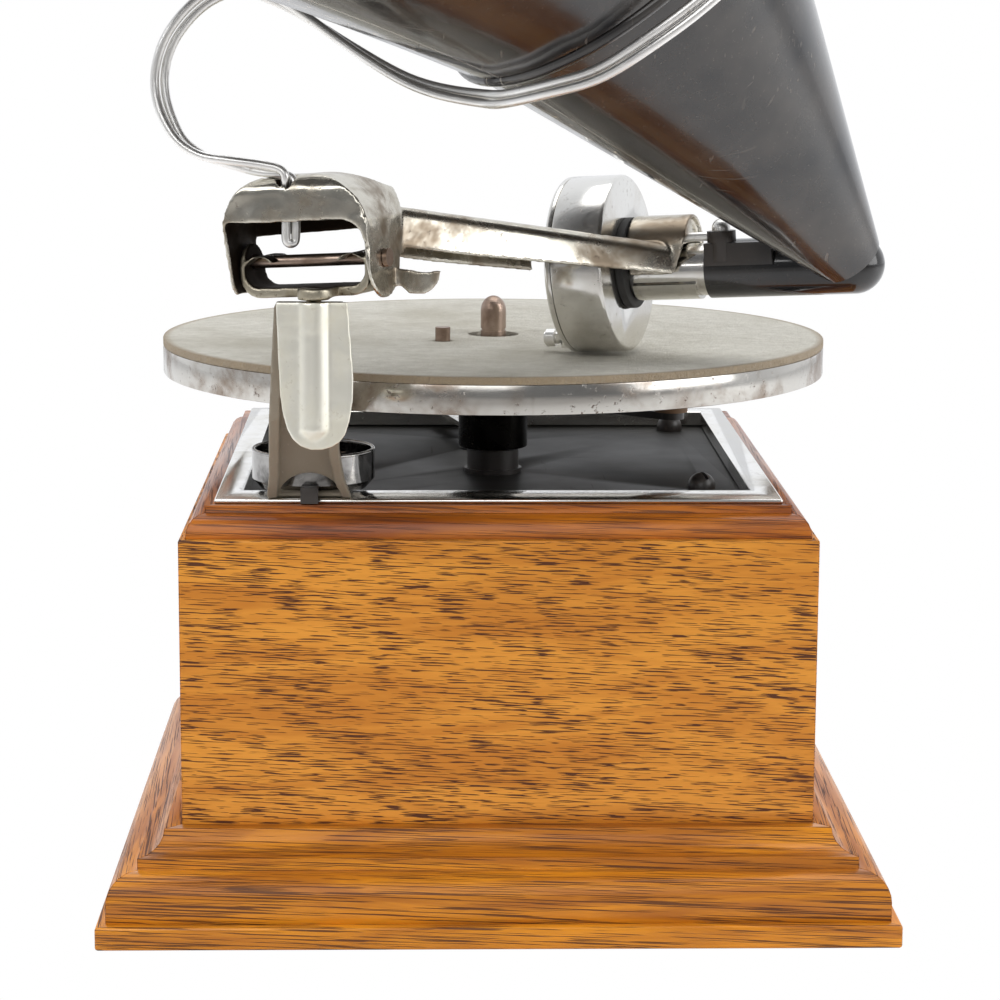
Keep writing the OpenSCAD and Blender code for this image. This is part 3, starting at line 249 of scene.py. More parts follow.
def makeWoodGrain(g):
    inputs = [
        ("Vector", "Vector", None),
        ("Light", "Color", (0.5, 0.2, 0.04)),
        ("Dark", "Color", (0.3, 0.1, 0.02)),
        ("Pore", "Color", (0.08, 0.025, 0.008)),
        ("Pore Amount", "Float", 1.0),
        ("Pore Length", "Float", 1.0),
        ("Drift", "Float", 0.35),
    ]
    outputs = [("Color", "Color"), ("Roughness", "Float"), ("Height", "Float")]
    tree, source, out = newGroup("woodGrain", inputs, outputs)
    vector, light, dark, pore, amount, length, drift = source.outputs[:7]
    x, y, z = split(tree, vector)
    tone = cloud(tree, stretched(tree, vector, g["tone"]), detail=4.0, distort=0.6)
    fine = cloud(tree, stretched(tree, vector, g["fine"]), detail=2.0)
    base = mixColours(tree, rise(tree, tone, g["toneEdges"], True), light, dark)
    base = tinted(tree, rise(tree, fine, g["fineEdges"]), g["fineShare"], base, dark)
    # Rows of pores that drift across the board
    along, across, into = g["pore"]
    poreAlong = maths(tree, "DIVIDE", times(tree, x, along), length)
    poreAcross = plus(tree, times(tree, y, across), times(tree, x, g["poreLean"]))
    pores = joined(tree, poreAlong, poreAcross, times(tree, z, into))
    dashes = cloud(tree, pores, detail=1.5, rough=0.5, distort=0.25)
    rowAlong, rowAcross = g["row"]
    drifted = plus(tree, y, times(tree, x, drift))
    rows = joined(tree, times(tree, x, rowAlong), times(tree, drifted, rowAcross), z)
    bands = cloud(tree, rows, detail=2.5, distort=0.8)
    level = plus(tree, dashes, times(tree, minus(tree, bands, 0.5), g["rowShare"]))
    mask = times(tree, rise(tree, level, g["poreEdges"]), amount)
    rough = plus(tree, times(tree, mask, g["poreRough"]), times(tree, tone, g["toneRough"]))
    height = minus(tree, times(tree, fine, g["fineHeight"]), times(tree, mask, g["poreDepth"]))
    feedAll(tree, out.inputs, (mixColours(tree, mask, base, pore), rough, height))
    return tree


# Worn nickel: dull patches, dark specks and fine lines, in waves per metre; turns in radians
wear = {
    "patch": 55.0, "patchEdges": (0.4, 0.66), "patchRough": 0.22, "patchHeight": 0.4,
    "grit": 620.0, "area": 90.0, "areaShare": 0.35, "speckEdges": (0.8, 0.9), "speckRough": 0.3,
    "line": (60, 900, 500), "lineTurn": (0.3, 0.2, 0.5), "lineEdges": (0.5, 0.75), "lineRough": 0.08,
}


def makeWornNickel(w):
    inputs = [
        ("Vector", "Vector", None),
        ("Bright", "Color", (0.75, 0.73, 0.7)),
        ("Dull", "Color", (0.42, 0.36, 0.27)),
        ("Spot", "Color", (0.12, 0.07, 0.04)),
        ("Dull Amount", "Float", 0.4),
        ("Spot Amount", "Float", 0.3),
        ("Polish", "Float", 0.16),
    ]
    outputs = [("Color", "Color"), ("Roughness", "Float"), ("Height", "Float")]
    tree, source, out = newGroup("wornNickel", inputs, outputs)
    vector, bright, dull, spot, dullness, spots, polish = source.outputs[:7]
    broad = cloud(tree, vector, w["patch"], detail=4.0, rough=0.65, distort=0.4)
    patch = times(tree, rise(tree, broad, w["patchEdges"], True), dullness)
    area = times(tree, cloud(tree, vector, w["area"]), w["areaShare"])
    grit = plus(tree, cloud(tree, vector, w["grit"], rough=0.7), area)
    speck = times(tree, rise(tree, grit, w["speckEdges"]), spots)
    lines = cloud(tree, stretched(tree, vector, w["line"], w["lineTurn"]), detail=2.0, rough=0.5)
    rough = plus(tree, polish, times(tree, patch, w["patchRough"]))
    rough = plus(tree, rough, times(tree, speck, w["speckRough"]))
    rough = plus(tree, rough, times(tree, rise(tree, lines, w["lineEdges"]), w["lineRough"]))
    colour = mixColours(tree, speck, mixColours(tree, patch, bright, dull), spot)
    height = minus(tree, times(tree, broad, w["patchHeight"]), speck)
    feedAll(tree, out.inputs, (colour, rough, height))
    return tree


# Scuffs: two families of short scratches and a fine dust, in waves per metre; turns in radians
scuffing = {
    "first": (30, 1100, 240), "firstTurn": (0.2, 0.5, 0.9), "firstEdges": (0.7, 0.74),
    "second": (900, 40, 300), "secondTurn": (0.7, 0.1, 0.3), "secondEdges": (0.72, 0.76),
    "area": 30.0, "areaEdges": (0.45, 0.62), "dust": 1400.0, "dustEdges": (0.66, 0.74),
}


def makeScuffs(s):
    inputs = [("Vector", "Vector", None), ("Amount", "Float", 1.0)]
    tree, source, out = newGroup("scuffs", inputs, [("Mask", "Float"), ("Dust", "Float")])
    vector, amount = source.outputs[:2]
    scratches = []
    for family in ("first", "second"):
        turned = stretched(tree, vector, s[family], s[family + "Turn"])
        lines = cloud(tree, turned, detail=1.0, rough=0.5, distort=0.3)
        scratches.append(rise(tree, lines, s[family + "Edges"]))
    area = rise(tree, cloud(tree, vector, s["area"], detail=2.0, rough=0.5), s["areaEdges"])
    marks = times(tree, maths(tree, "MAXIMUM", *scratches), area)
    dust = rise(tree, cloud(tree, vector, s["dust"], detail=2.0), s["dustEdges"])
    feedAll(tree, out.inputs, (times(tree, marks, amount), times(tree, dust, amount)))
    return tree


boardCoords = makeBoardCoords()
woodGrain = makeWoodGrain(grain)
wornNickel = makeWornNickel(wear)
scuffs = makeScuffs(scuffing)
print("shared effects made")


def newMaterial(name):
    m = bpy.data.materials.new(name)
    m.use_nodes = True
    tree = m.node_tree
    shader = tree.nodes["Principled BSDF"]
    where = addNode(tree, "ShaderNodeTexCoord").outputs["Object"]
    return m, tree, shader, where


def placeGroup(tree, group, **values):
    n = addNode(tree, "ShaderNodeGroup", node_tree=group)
    for key, value in values.items():
        feed(tree, n.inputs[key.replace("_", " ")], value)
    return n


def fix(shader, **values):
    for key, value in values.items():
        shader.inputs[key.replace("_", " ")].default_value = value


def bumped(tree, shader, height, distance):
    n = addNode(tree, "ShaderNodeBump")
    n.inputs["Distance"].default_value = distance
    n.inputs["Strength"].default_value = 1.0
    feed(tree, n.inputs["Height"], height)
    feed(tree, shader.inputs["Normal"], n.outputs[0])


# Woods
woodSurface = {"shine": 0.3, "coatRough": 0.16, "bump": 0.00012}
woods = {
    "boxWood": {
        "light": (0.76, 0.31, 0.036), "dark": (0.56, 0.195, 0.017), "pore": (0.1, 0.03, 0.008),
        "amount": 1.0, "length": 1.0, "drift": 0.35, "gloss": 0.3, "coat": 0.12,
    },
    "plinthWood": {
        "light": (0.72, 0.27, 0.014), "dark": (0.42, 0.135, 0.01), "pore": (0.09, 0.026, 0.006),
        "amount": 0.9, "length": 3.2, "drift": 0.02, "gloss": 0.22, "coat": 0.25,
    },
    "topWood": {
        "light": (0.56, 0.17, 0.012), "dark": (0.27, 0.065, 0.009), "pore": (0.07, 0.02, 0.008),
        "amount": 0.7, "length": 2.6, "drift": 0.03, "gloss": 0.18, "coat": 0.4,
    },
    "knobWood": {
        "light": (0.1, 0.04, 0.02), "dark": (0.05, 0.02, 0.012), "pore": (0.02, 0.01, 0.008),
        "amount": 0.6, "length": 1.6, "drift": 0.05, "gloss": 0.25, "coat": 0.4,
    },
}


def makeWood(name, w):
    m, tree, shader, where = newMaterial(name)
    board = placeGroup(tree, boardCoords, Vector=where).outputs[0]
    wood = placeGroup(
        tree, woodGrain, Vector=board, Light=w["light"], Dark=w["dark"], Pore=w["pore"],
        Pore_Amount=w["amount"], Pore_Length=w["length"], Drift=w["drift"],
    )
    feed(tree, shader.inputs["Base Color"], wood.outputs["Color"])
    feed(tree, shader.inputs["Roughness"], plus(tree, wood.outputs["Roughness"], w["gloss"]))
    fix(
        shader, Specular_IOR_Level=woodSurface["shine"], Coat_Weight=w["coat"],
        Coat_Roughness=woodSurface["coatRough"],
    )
    bumped(tree, shader, wood.outputs["Height"], woodSurface["bump"])
    return m


finish = {name: makeWood(name, values) for name, values in woods.items()}

# Metals; the hollow of a pressed piece is darkened with painted shade
hollowPaintedShade = {"colour": (0.03, 0.02, 0.014), "rough": 0.4}
metals = {
    "frameNickel": {
        "bright": (0.93, 0.92, 0.89), "dull": (0.72, 0.69, 0.6), "spot": (0.2, 0.16, 0.12),
        "dulled": 0.4, "spotted": 0.35, "polish": 0.12, "bump": 0.00002,
    },
    "rimNickel": {
        "bright": (0.62, 0.6, 0.56), "dull": (0.24, 0.17, 0.12), "spot": (0.09, 0.05, 0.03),
        "dulled": 0.85, "spotted": 0.75, "polish": 0.14, "bump": 0.00004,
        "hub": {"radius": 0.0104, "colour": (0.045, 0.042, 0.038)},
    },
    "drumNickel": {
        "bright": (0.8, 0.79, 0.76), "dull": (0.62, 0.57, 0.5), "spot": (0.18, 0.13, 0.1),
        "dulled": 0.4, "spotted": 0.35, "polish": 0.13, "bump": 0.00002,
    },
    "armNickel": {
        "bright": (0.66, 0.63, 0.55), "dull": (0.25, 0.19, 0.13), "spot": (0.16, 0.11, 0.08),
        "dulled": 0.9, "spotted": 0.35, "polish": 0.17, "bump": 0.00005,
    },
    "tanNickel": {
        "bright": (0.46, 0.42, 0.33), "dull": (0.3, 0.25, 0.17), "spot": (0.1, 0.07, 0.05),
        "dulled": 0.9, "spotted": 0.7, "polish": 0.34, "bump": 0.0001,
    },
    # Needle cup: its nickel colour is dark all over, a painted dark reflection, with pale specks
    "cupPaintedDarkReflection": {
        "bright": (0.42, 0.41, 0.4), "dull": (0.1, 0.095, 0.09), "spot": (0.6, 0.58, 0.55),
        "dulled": 1.0, "spotted": 0.25, "polish": 0.06, "bump": 0.00003,
    },
    "paleNickel": {
        "bright": (0.94, 0.92, 0.82), "dull": (0.8, 0.76, 0.62), "spot": (0.4, 0.33, 0.22),
        "dulled": 0.6, "spotted": 0.25, "polish": 0.38, "bump": 0.00003,
    },
    "wireNickel": {
        "bright": (0.95, 0.94, 0.92), "dull": (0.84, 0.82, 0.77), "spot": (0.4, 0.34, 0.26),
        "dulled": 0.4, "spotted": 0.3, "polish": 0.3, "bump": 0.00003,
    },
    "steel": {
        "bright": (0.56, 0.55, 0.54), "dull": (0.4, 0.38, 0.36), "spot": (0.16, 0.1, 0.07),
        "dulled": 0.5, "spotted": 0.3, "polish": 0.25, "bump": 0.00002,
    },
    "brownSteel": {
        "bright": (0.42, 0.32, 0.26), "dull": (0.2, 0.13, 0.09), "spot": (0.07, 0.04, 0.03),
        "dulled": 0.8, "spotted": 0.6, "polish": 0.3, "bump": 0.00005,
    },
    "springSteel": {
        "bright": (0.2, 0.22, 0.28), "dull": (0.14, 0.14, 0.16), "spot": (0.08, 0.06, 0.05),
        "dulled": 0.5, "spotted": 0.3, "polish": 0.25, "bump": 0.00002,
    },
    "brass": {
        "bright": (0.78, 0.56, 0.24), "dull": (0.5, 0.34, 0.14), "spot": (0.2, 0.12, 0.06),
        "dulled": 0.5, "spotted": 0.3, "polish": 0.22, "bump": 0.00002,
    },
}


def makeMetal(name, w):
    m, tree, shader, where = newMaterial(name)
    plate = placeGroup(
        tree, wornNickel, Vector=where, Bright=w["bright"], Dull=w["dull"], Spot=w["spot"],
        Dull_Amount=w["dulled"], Spot_Amount=w["spotted"], Polish=w["polish"],
    )
    colour = plate.outputs["Color"]
    if "hub" in w:
        # The hub under the turntable is nearly black
        atHub = maths(tree, "LESS_THAN", fromAxis(tree, where), w["hub"]["radius"])
        colour = mixColours(tree, atHub, colour, w["hub"]["colour"])
    # Painted shade: the inside of the hollow is darkened and made rougher
    hollowShade = addNode(tree, "ShaderNodeAttribute", attribute_name="inner").outputs["Fac"]
    rough = plus(tree, plate.outputs["Roughness"], times(tree, hollowShade, hollowPaintedShade["rough"]))
    feed(tree, shader.inputs["Base Color"], mixColours(tree, hollowShade, colour, hollowPaintedShade["colour"]))
    feed(tree, shader.inputs["Roughness"], rough)
    fix(shader, Metallic=1.0)
    bumped(tree, shader, plate.outputs["Height"], w["bump"])
    return m


finish.update({name: makeMetal(name, values) for name, values in metals.items()})

# Seam of the horn: the axis in degrees, the strip's edges in radians around it
seam = {
    "apex": (0.10114, -0.06156, 0.15063), "lean": 43.2, "turn": 208.3, "from": 0.02, "to": 0.15,
    "edge": 0.012, "wobble": 0.012, "wobbleWaves": 900.0,
    "flake": (420, 420, 620), "flakeLevel": 0.63, "flakeReach": 0.05,
    "stripTint": (0.6, (0.012, 0.01, 0.01)), "edgeTint": (0.55, (0.5, 0.46, 0.4)),
    "flakeTint": (0.9, (0.6, 0.5, 0.36)),
}


def seamMasks(tree, where, s):
    lean, turn = math.radians(s["lean"]), math.radians(s["turn"])
    across = Vector((math.cos(lean) * math.cos(turn), math.cos(lean) * math.sin(turn), -math.sin(lean)))
    along = Vector((math.sin(lean) * math.cos(turn), math.sin(lean) * math.sin(turn), math.cos(lean)))
    offset = vectorMaths(tree, "SUBTRACT", where, s["apex"])
    sides = [vectorMaths(tree, "DOT_PRODUCT", offset, axis) for axis in (along.cross(across), across)]
    angle = maths(tree, "ARCTAN2", *sides)
    middle, half = (s["from"] + s["to"]) / 2, (s["to"] - s["from"]) / 2
    off = absolute(tree, minus(tree, angle, middle))
    strip = maths(tree, "LESS_THAN", off, half)
    wobble = times(tree, cloud(tree, where, s["wobbleWaves"], detail=2.0), s["wobble"])
    offEdge = plus(tree, absolute(tree, minus(tree, off, half)), wobble)
    edge = maths(tree, "LESS_THAN", offEdge, s["edge"])
    specks = cloud(tree, stretched(tree, where, s["flake"]), detail=4.0, rough=0.65)
    flakes = maths(tree, "GREATER_THAN", specks, s["flakeLevel"])
    offStart = absolute(tree, minus(tree, angle, s["from"]))
    nearStart = maths(tree, "LESS_THAN", offStart, s["flakeReach"])
    return strip, edge, times(tree, flakes, nearStart)


# Paints and the other dull finishes
paintSurface = {
    "haze": 40.0, "hazeEdges": (0.35, 0.7), "hazeShare": 0.25, "hazeRough": 0.1,
    "markShare": 0.7, "dustShare": 0.5, "markRough": 0.25, "coatRough": 0.08, "bump": 0.00003,
}
paints = {
    "bedBlack": {
        "colour": (0.018, 0.017, 0.015), "worn": (0.06, 0.054, 0.045),
        "rough": 0.44, "shine": 0.22, "coat": 0.0, "amount": 0.6,
    },
    "ironBlack": {
        "colour": (0.022, 0.02, 0.019), "worn": (0.12, 0.09, 0.07),
        "rough": 0.34, "shine": 0.5, "coat": 0.1, "amount": 0.8,
    },
    "glossBlack": {
        "colour": (0.008, 0.008, 0.009), "worn": (0.1, 0.09, 0.08),
        "rough": 0.12, "shine": 0.5, "coat": 0.5, "amount": 0.7,
    },
    "hornBlack": {
        "colour": (0.01, 0.01, 0.012), "worn": (0.2, 0.17, 0.14),
        "rough": 0.14, "shine": 0.5, "coat": 0.6, "amount": 0.8, "seam": seam,
    },
    "rubber": {
        "colour": (0.03, 0.029, 0.028), "worn": (0.09, 0.085, 0.08),
        "rough": 0.65, "shine": 0.5, "coat": 0.0, "amount": 0.5,
    },
    "postTan": {
        "colour": (0.25, 0.21, 0.155), "worn": (0.4, 0.36, 0.29),
        "rough": 0.48, "shine": 0.5, "coat": 0.0, "amount": 0.8,
    },
    "leather": {
        "colour": (0.2, 0.11, 0.055), "worn": (0.32, 0.22, 0.13),
        "rough": 0.6, "shine": 0.5, "coat": 0.0, "amount": 0.8,
    },
}


def makePaint(name, w):
    m, tree, shader, where = newMaterial(name)
    p = paintSurface
    marks = placeGroup(tree, scuffs, Vector=where, Amount=w["amount"])
    haze = rise(tree, cloud(tree, where, p["haze"]), p["hazeEdges"])
    colour = tinted(tree, haze, p["hazeShare"], w["colour"], w["worn"])
    colour = tinted(tree, marks.outputs["Mask"], p["markShare"], colour, w["worn"])
    colour = tinted(tree, marks.outputs["Dust"], p["dustShare"], colour, w["worn"])
    if "seam" in w:
        tints = (w["seam"]["stripTint"], w["seam"]["edgeTint"], w["seam"]["flakeTint"])
        for mask, (share, tint) in zip(seamMasks(tree, where, w["seam"]), tints):
            colour = tinted(tree, mask, share, colour, tint)
    feed(tree, shader.inputs["Base Color"], colour)
    rough = plus(tree, times(tree, haze, p["hazeRough"]), w["rough"])
    rough = plus(tree, rough, times(tree, marks.outputs["Mask"], p["markRough"]))
    feed(tree, shader.inputs["Roughness"], rough)
    fix(shader, Specular_IOR_Level=w["shine"], Coat_Weight=w["coat"], Coat_Roughness=p["coatRough"])
    bumped(tree, shader, minus(tree, 0.0, marks.outputs["Mask"]), p["bump"])
    return m


finish.update({name: makePaint(name, values) for name, values in paints.items()})

# Mica of the diaphragm
mica = {
    "flakes": 160.0, "edges": (0.35, 0.65), "clear": (0.86, 0.78, 0.58), "brown": (0.72, 0.6, 0.38),
    "rough": [(0.3, 0.1), (0.7, 0.3)], "through": 0.5, "ior": 1.56,
}


def makeMica(c):
    m, tree, shader, where = newMaterial("mica")
    flakes = cloud(tree, where, c["flakes"])
    colour = mixColours(tree, rise(tree, flakes, c["edges"]), c["clear"], c["brown"])
    feed(tree, shader.inputs["Base Color"], colour)
    feed(tree, shader.inputs["Roughness"], ramp(tree, flakes, c["rough"]))
    fix(shader, Transmission_Weight=c["through"], IOR=c["ior"])
    return m


# Felt: tufts, fibres and stains, with a browner edge
felt = {
    "tuft": 220.0, "tuftEdges": (0.3, 0.7), "low": (0.6, 0.57, 0.48), "high": (0.78, 0.75, 0.66),
    "fibre": 900, "fibreEdges": (0.45, 0.75), "fibreTint": (0.45, (0.84, 0.81, 0.72)),
    "stain": 24.0, "stainEdges": (0.45, 0.68), "stainTint": (0.6, (0.43, 0.39, 0.29)),
    "rim": (0.0868, 0.0889), "rimTint": (0.85, (0.32, 0.22, 0.11)),
    "rimGain": 10,  # a ramp ends at 1, so the radius is enlarged for it
    "rough": 0.95, "sheen": 0.25, "sheenRough": 0.6, "tuftHeight": 1.2, "bump": 0.0009,
}


def makeFelt(c):
    m, tree, shader, where = newMaterial("felt")
    finer = stretched(tree, where, (c["fibre"],) * 3)
    fibre = cloud(tree, finer, detail=4.0, rough=0.75, distort=1.2)
    tuft = cloud(tree, where, c["tuft"], rough=0.7)
    stain = cloud(tree, where, c["stain"], detail=4.0)
    toRim = times(tree, fromAxis(tree, where), c["rimGain"])
    rimEdges = [radius * c["rimGain"] for radius in c["rim"]]
    colour = mixColours(tree, rise(tree, tuft, c["tuftEdges"]), c["low"], c["high"])
    masks = (
        (rise(tree, fibre, c["fibreEdges"]), c["fibreTint"]),
        (rise(tree, stain, c["stainEdges"]), c["stainTint"]),
        (rise(tree, toRim, rimEdges), c["rimTint"]),
    )
    for mask, (share, tint) in masks:
        colour = tinted(tree, mask, share, colour, tint)
    feed(tree, shader.inputs["Base Color"], colour)
    fix(shader, Roughness=c["rough"], Sheen_Weight=c["sheen"], Sheen_Roughness=c["sheenRough"])
    bumped(tree, shader, plus(tree, fibre, times(tree, tuft, c["tuftHeight"])), c["bump"])
    return m


finish["mica"] = makeMica(mica)
finish["felt"] = makeFelt(felt)
print(len(finish), "finishes made")

finishOf = {
    "plinthWood": ["base_board", "base_mouldings"],
    "boxWood": ["case_front", "case_rear", "case_sides"],
    "topWood": ["top_mouldings"],
    "frameNickel": ["top_frame", "speed_lever", "crank_arm"],
    "bedBlack": ["bedplate"],
    "ironBlack": [
        "spindle_bush", "motor_screws", "brake_stud", "brake_lever", "clamp_hook", "crank_bearing",
        "elbow_clamp",
    ],
    "brass": [
        "motor_pillars", "worm_wheel", "intermediate_wheel", "spring_barrel", "barrel_lid", "crown_wheel",
        "governor_weights", "governor_disc",
    ],
    "steel": [
        "lower_plate", "intermediate_arbor", "winding_arbor", "ratchet_wheel", "click", "crank_shaft",
        "governor_shaft",
    ],
    "springSteel": ["mainspring", "governor_springs"],
    "brownSteel": ["spindle", "drive_pin", "hinge_pin"],
    "rimNickel": ["turntable"],
    "felt": ["turntable_felt"],
    "leather": ["brake_pad"],
    "knobWood": ["crank_knob"],
    "tanNickel": ["swivel_bracket"],
    "postTan": ["bracket_post"],
    "cupPaintedDarkReflection": ["needle_cup"],
    "paleNickel": ["bearing_plate"],
    "armNickel": ["arm"],
    "wireNickel": ["horn_wire", "clamp_screws", "needle_screw"],
    "drumNickel": ["soundbox_case", "soundbox_ring", "stylus_bar", "tube_clip", "throat_tube"],
    "rubber": ["soundbox_gaskets", "rubber_bush"],
    "mica": ["diaphragm"],
    "glossBlack": ["elbow"],
    "hornBlack": ["horn_cone", "horn_bell"],
}
finishName = {node: name for name, group in finishOf.items() for node in group}
for name, obj in nodes.items():
    obj.data.materials.clear()
    obj.data.materials.append(finish[finishName[name]])
print("finishes given to", len(finishName), "nodes")

bodyOf = {node: body for body, group in frame["record"]["behaviour"]["bodies"].items() for node in group}


# Dressed copies: the form of the solid with its edges worked
weldReach = 2e-6


def mergedCopy(name):
    b = bmesh.new()
    b.from_mesh(nodes[name].data)
    bmesh.ops.remove_doubles(b, verts=b.verts, dist=weldReach)
    bmesh.ops.recalc_face_normals(b, faces=b.faces)
    return b


def standFor(name, mesh, label):
    obj = bpy.data.objects.new(label, mesh)
    scene.collection.objects.link(obj)
    mesh.materials.clear()
    mesh.materials.append(finish[finishName[name]])
    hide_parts(name)
    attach(obj, bodyOf[name])


def baked(b, label, steps):
    mesh = bpy.data.meshes.new(label)
    b.to_mesh(mesh)
    b.free()
    temporary = bpy.data.objects.new(label, mesh)
    scene.collection.objects.link(temporary)
    for kind, values in steps:
        m = temporary.modifiers.new(kind, kind)
        for key, value in values.items():
            setattr(m, key, value)
    bpy.context.view_layer.update()
    worked = temporary.evaluated_get(bpy.context.evaluated_depsgraph_get())
    done = bpy.data.meshes.new_from_object(worked)
    bpy.data.objects.remove(temporary)
    return done


# Rounded edges: the width of each, in metres; angles in degrees
edgeWork = {"segments": 2, "flat": 0.6, "from": 28, "sharp": 32}
softEdges = {
    "base_board": 0.0007, "base_mouldings": 0.0003, "case_front": 0.0005, "case_sides": 0.0005,
    "case_rear": 0.0005, "top_mouldings": 0.0003, "top_frame": 0.0005, "bedplate": 0.0002,
    "turntable": 0.0005, "turntable_felt": 0.0007, "clamp_hook": 0.0003, "elbow_clamp": 0.0003,
    "soundbox_case": 0.0005, "soundbox_ring": 0.0003, "rubber_bush": 0.0003,
}


def softened(name, width, e):
    b = mergedCopy(name)
    bmesh.ops.dissolve_limit(b, angle_limit=math.radians(e["flat"]), verts=b.verts, edges=b.edges)
    bevel = {
        "width": width, "segments": e["segments"],
        "limit_method": "ANGLE", "angle_limit": math.radians(e["from"]),
    }
    done = baked(b, name + "Soft", [("BEVEL", bevel)])
    done.shade_smooth()
    done.set_sharp_from_angle(angle=math.radians(e["sharp"]))
    standFor(name, done, name + "Soft")


for name, width in softEdges.items():
    softened(name, width, edgeWork)
print("edges softened on", len(softEdges), "pieces")

# Arm head in its own axes, in metres: its hollow, where painted shade goes, and where the hood is dented
head = {
    "origin": (-0.0446, -0.1, 0.17), "x": (0.925, -0.374, 0.07), "y": (0.375, 0.927, 0),
    "middle": (0, 0.005, 0.007),
    "hollowHalf": 0.0195, "hollowFront": -0.0125, "hollowRear": 0.026, "hollowLow": -0.009,
    "hollowGain": 3, "hollowEdge": 0.2,
    "dentHalf": 0.024, "dentRear": 0.03, "dentWaves": 150, "fineWaves": 260,
}
# Pressed pieces: size of the new mesh, smoothing passes, depth of the dents and whether the hollow gets
# painted shade
smoothShare = 0.5
castPieces = {
    "arm": {"voxel": 0.00042, "passes": 6, "dent": 0.0001, "deepDent": 0.00045, "hollowShade": True},
    "swivel_bracket": {"voxel": 0.00038, "passes": 7, "dent": 0.00008, "deepDent": 0, "hollowShade": True},
    "bracket_post": {"voxel": 0.00042, "passes": 5, "dent": 0.0001, "deepDent": 0, "hollowShade": False},
    "bearing_plate": {"voxel": 0.00038, "passes": 4, "dent": 0.00006, "deepDent": 0, "hollowShade": False},
}


# Painted shade: how far a point inside the hollow faces into it
def hollowShadeMask(own, facing, h):
    outside = abs(own.x) >= h["hollowHalf"] or own.z <= h["hollowLow"]
    if outside or not h["hollowFront"] < own.y < h["hollowRear"]:
        return 0.0
    inward = facing.dot((Vector(h["middle"]) - own).normalized())
    return min(1.0, max(0.0, inward * h["hollowGain"] - h["hollowEdge"]))


def remeshed(name, c, h):
    remesh = ("REMESH", {"mode": "VOXEL", "voxel_size": c["voxel"]})
    smooth = ("SMOOTH", {"factor": smoothShare, "iterations": c["passes"]})
    done = baked(mergedCopy(name), name + "Cast", [remesh, smooth])
    # Painted shade of the hollow, kept on the points of the new mesh
    inner = done.attributes.new("inner", "FLOAT", "POINT")
    axisX, axisY = Vector(h["x"]).normalized(), Vector(h["y"]).normalized()
    axisZ = axisX.cross(axisY)
    origin = Vector(h["origin"])
    normals = [v.normal.copy() for v in done.vertices]
    for v, n in zip(done.vertices, normals):
        own, facing = (Vector((q.dot(axisX), q.dot(axisY), q.dot(axisZ))) for q in (v.co - origin, n))
        inner.data[v.index].value = hollowShadeMask(own, facing, h) if c["hollowShade"] else 0.0
        v.co -= n * c["dent"] * (0.5 + 0.5 * noise.noise(v.co * h["fineWaves"]))
        if c["deepDent"] and abs(own.x) < h["dentHalf"] and own.y < h["dentRear"]:
            v.co -= n * c["deepDent"] * max(0.0, noise.noise(v.co * h["dentWaves"]))
    done.shade_smooth()
    standFor(name, done, name + "Cast")


for name, values in castPieces.items():
    remeshed(name, values, head)
print("pressed pieces rounded")

# Horn wire, drawn smooth around its strands
wire = {"levels": 2, "grown": 0.00008}


def smoothWire(name, w):
    b = mergedCopy(name)
    bmesh.ops.join_triangles(b, faces=b.faces, angle_face_threshold=math.pi, angle_shape_threshold=math.pi)
    done = baked(b, name + "Drawn", [("SUBSURF", {"levels": w["levels"]})])
    for v, n in [(v, v.normal.copy()) for v in done.vertices]:
        v.co += n * w["grown"]
    done.shade_smooth()
    standFor(name, done, name + "Drawn")


smoothWire("horn_wire", wire)
print("wire drawn")

# Floor: white to the camera, darker towards the front as it shows in the metal
floorPaper = {
    "half": 3.0, "colour": (0.9, 0.9, 0.9), "rough": 0.9,
    "frontColour": (0.3, 0.29, 0.28), "front": -0.6, "fade": 0.55,
}


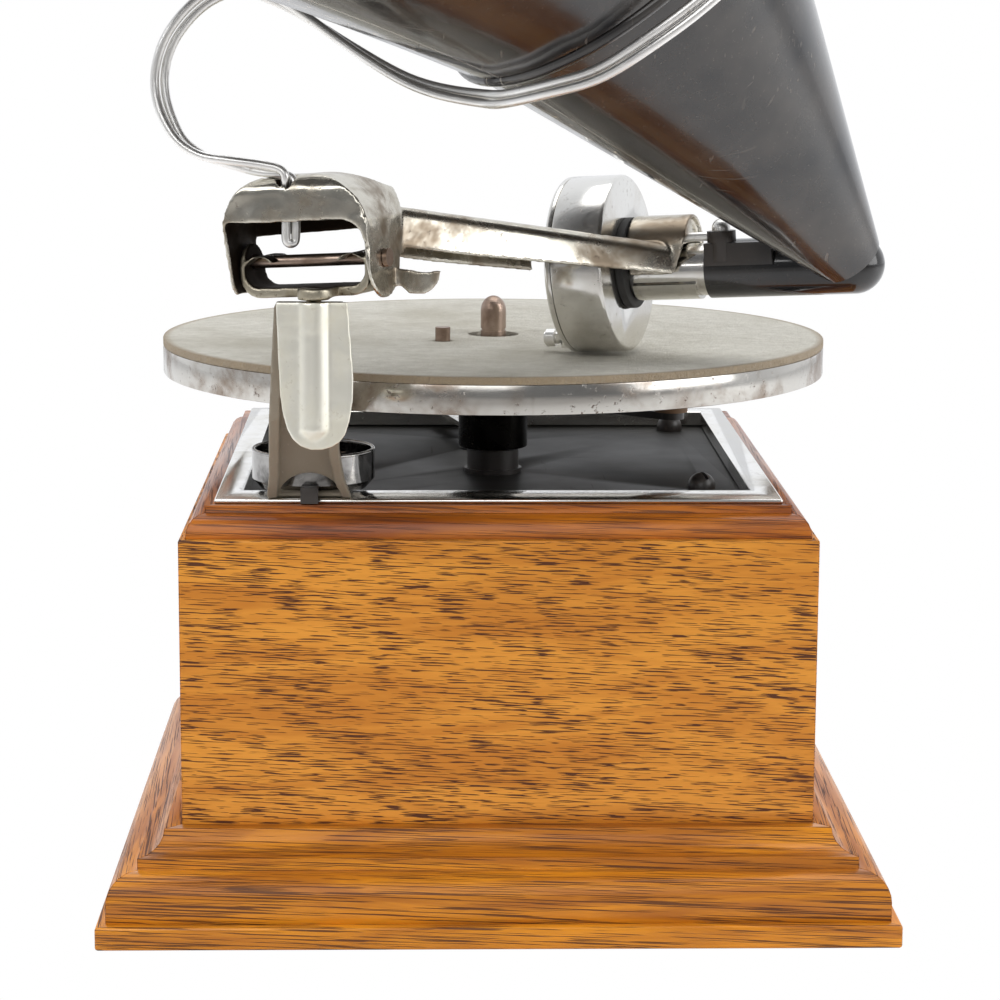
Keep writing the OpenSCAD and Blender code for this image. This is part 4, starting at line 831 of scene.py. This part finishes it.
def buildFloor(f):
    mesh = bpy.data.meshes.new("floor")
    r = f["half"]
    mesh.from_pydata([(-r, -r, 0), (r, -r, 0), (r, r, 0), (-r, r, 0)], [], [(0, 1, 2, 3)])
    floor = bpy.data.objects.new("floor", mesh)
    scene.collection.objects.link(floor)
    m, tree, shader, where = newMaterial("floorPaper")
    fromFront = plus(tree, split(tree, where)[1], -f["front"])
    shade = ramp(tree, fromFront, [(0.0, f["frontColour"]), (f["fade"], f["colour"])])
    feed(tree, shader.inputs["Base Color"], shade)
    fix(shader, Roughness=f["rough"])
    glow = addNode(tree, "ShaderNodeEmission").outputs[0]
    toCamera = addNode(tree, "ShaderNodeLightPath").outputs["Is Camera Ray"]
    blend = addNode(tree, "ShaderNodeMixShader")
    feedAll(tree, blend.inputs, (toCamera, shader.outputs[0], glow))
    feed(tree, tree.nodes["Material Output"].inputs[0], blend.outputs[0])
    mesh.materials.append(m)


# Studio light: brightest behind the gramophone, darkest behind the camera
studio = {"colour": (0.62, 0.63, 0.65), "toFront": [(0.1, 1.5), (0.45, 1.05), (0.68, 0.95), (0.9, 0.3)]}


def buildWorld(s):
    world = bpy.data.worlds.new("studio")
    scene.world = world
    world.use_nodes = True
    tree = world.node_tree
    way = split(tree, addNode(tree, "ShaderNodeTexCoord").outputs["Generated"])
    toFront = plus(tree, times(tree, way[1], -0.5), 0.5)
    light = mixed(tree, "RGBA", 1.0, s["colour"], ramp(tree, toFront, s["toFront"], True), "MULTIPLY")
    toCamera = addNode(tree, "ShaderNodeLightPath").outputs["Is Camera Ray"]
    feed(tree, tree.nodes["Background"].inputs[0], mixColours(tree, toCamera, light, (1, 1, 1)))


lampTarget = (0, 0, 0.15)
lamps = {
    "keyLeft": {"at": (-0.9, -0.9, 1.1), "size": 0.9, "power": 9.0},
    "fillRight": {"at": (1.1, -0.5, 0.6), "size": 0.9, "power": 7.0},
    "topSoft": {"at": (0.1, 0.2, 1.5), "size": 1.2, "power": 8.0},
    "frontSoft": {"at": (-0.3, -1.6, 1.0), "size": 1.1, "power": 6.5},
}


def buildLamp(name, values):
    data = bpy.data.lights.new(name, "AREA")
    data.size = values["size"]
    data.energy = values["power"]
    lamp = bpy.data.objects.new(name, data)
    scene.collection.objects.link(lamp)
    look = Vector(lampTarget) - Vector(values["at"])
    turn = look.to_track_quat("-Z", "Y").to_matrix().to_4x4()
    lamp.matrix_world = Matrix.Translation(values["at"]) @ turn


buildFloor(floorPaper)
buildWorld(studio)
for name, values in lamps.items():
    buildLamp(name, values)
scene.view_settings.view_transform = "Standard"
print("stage lit")
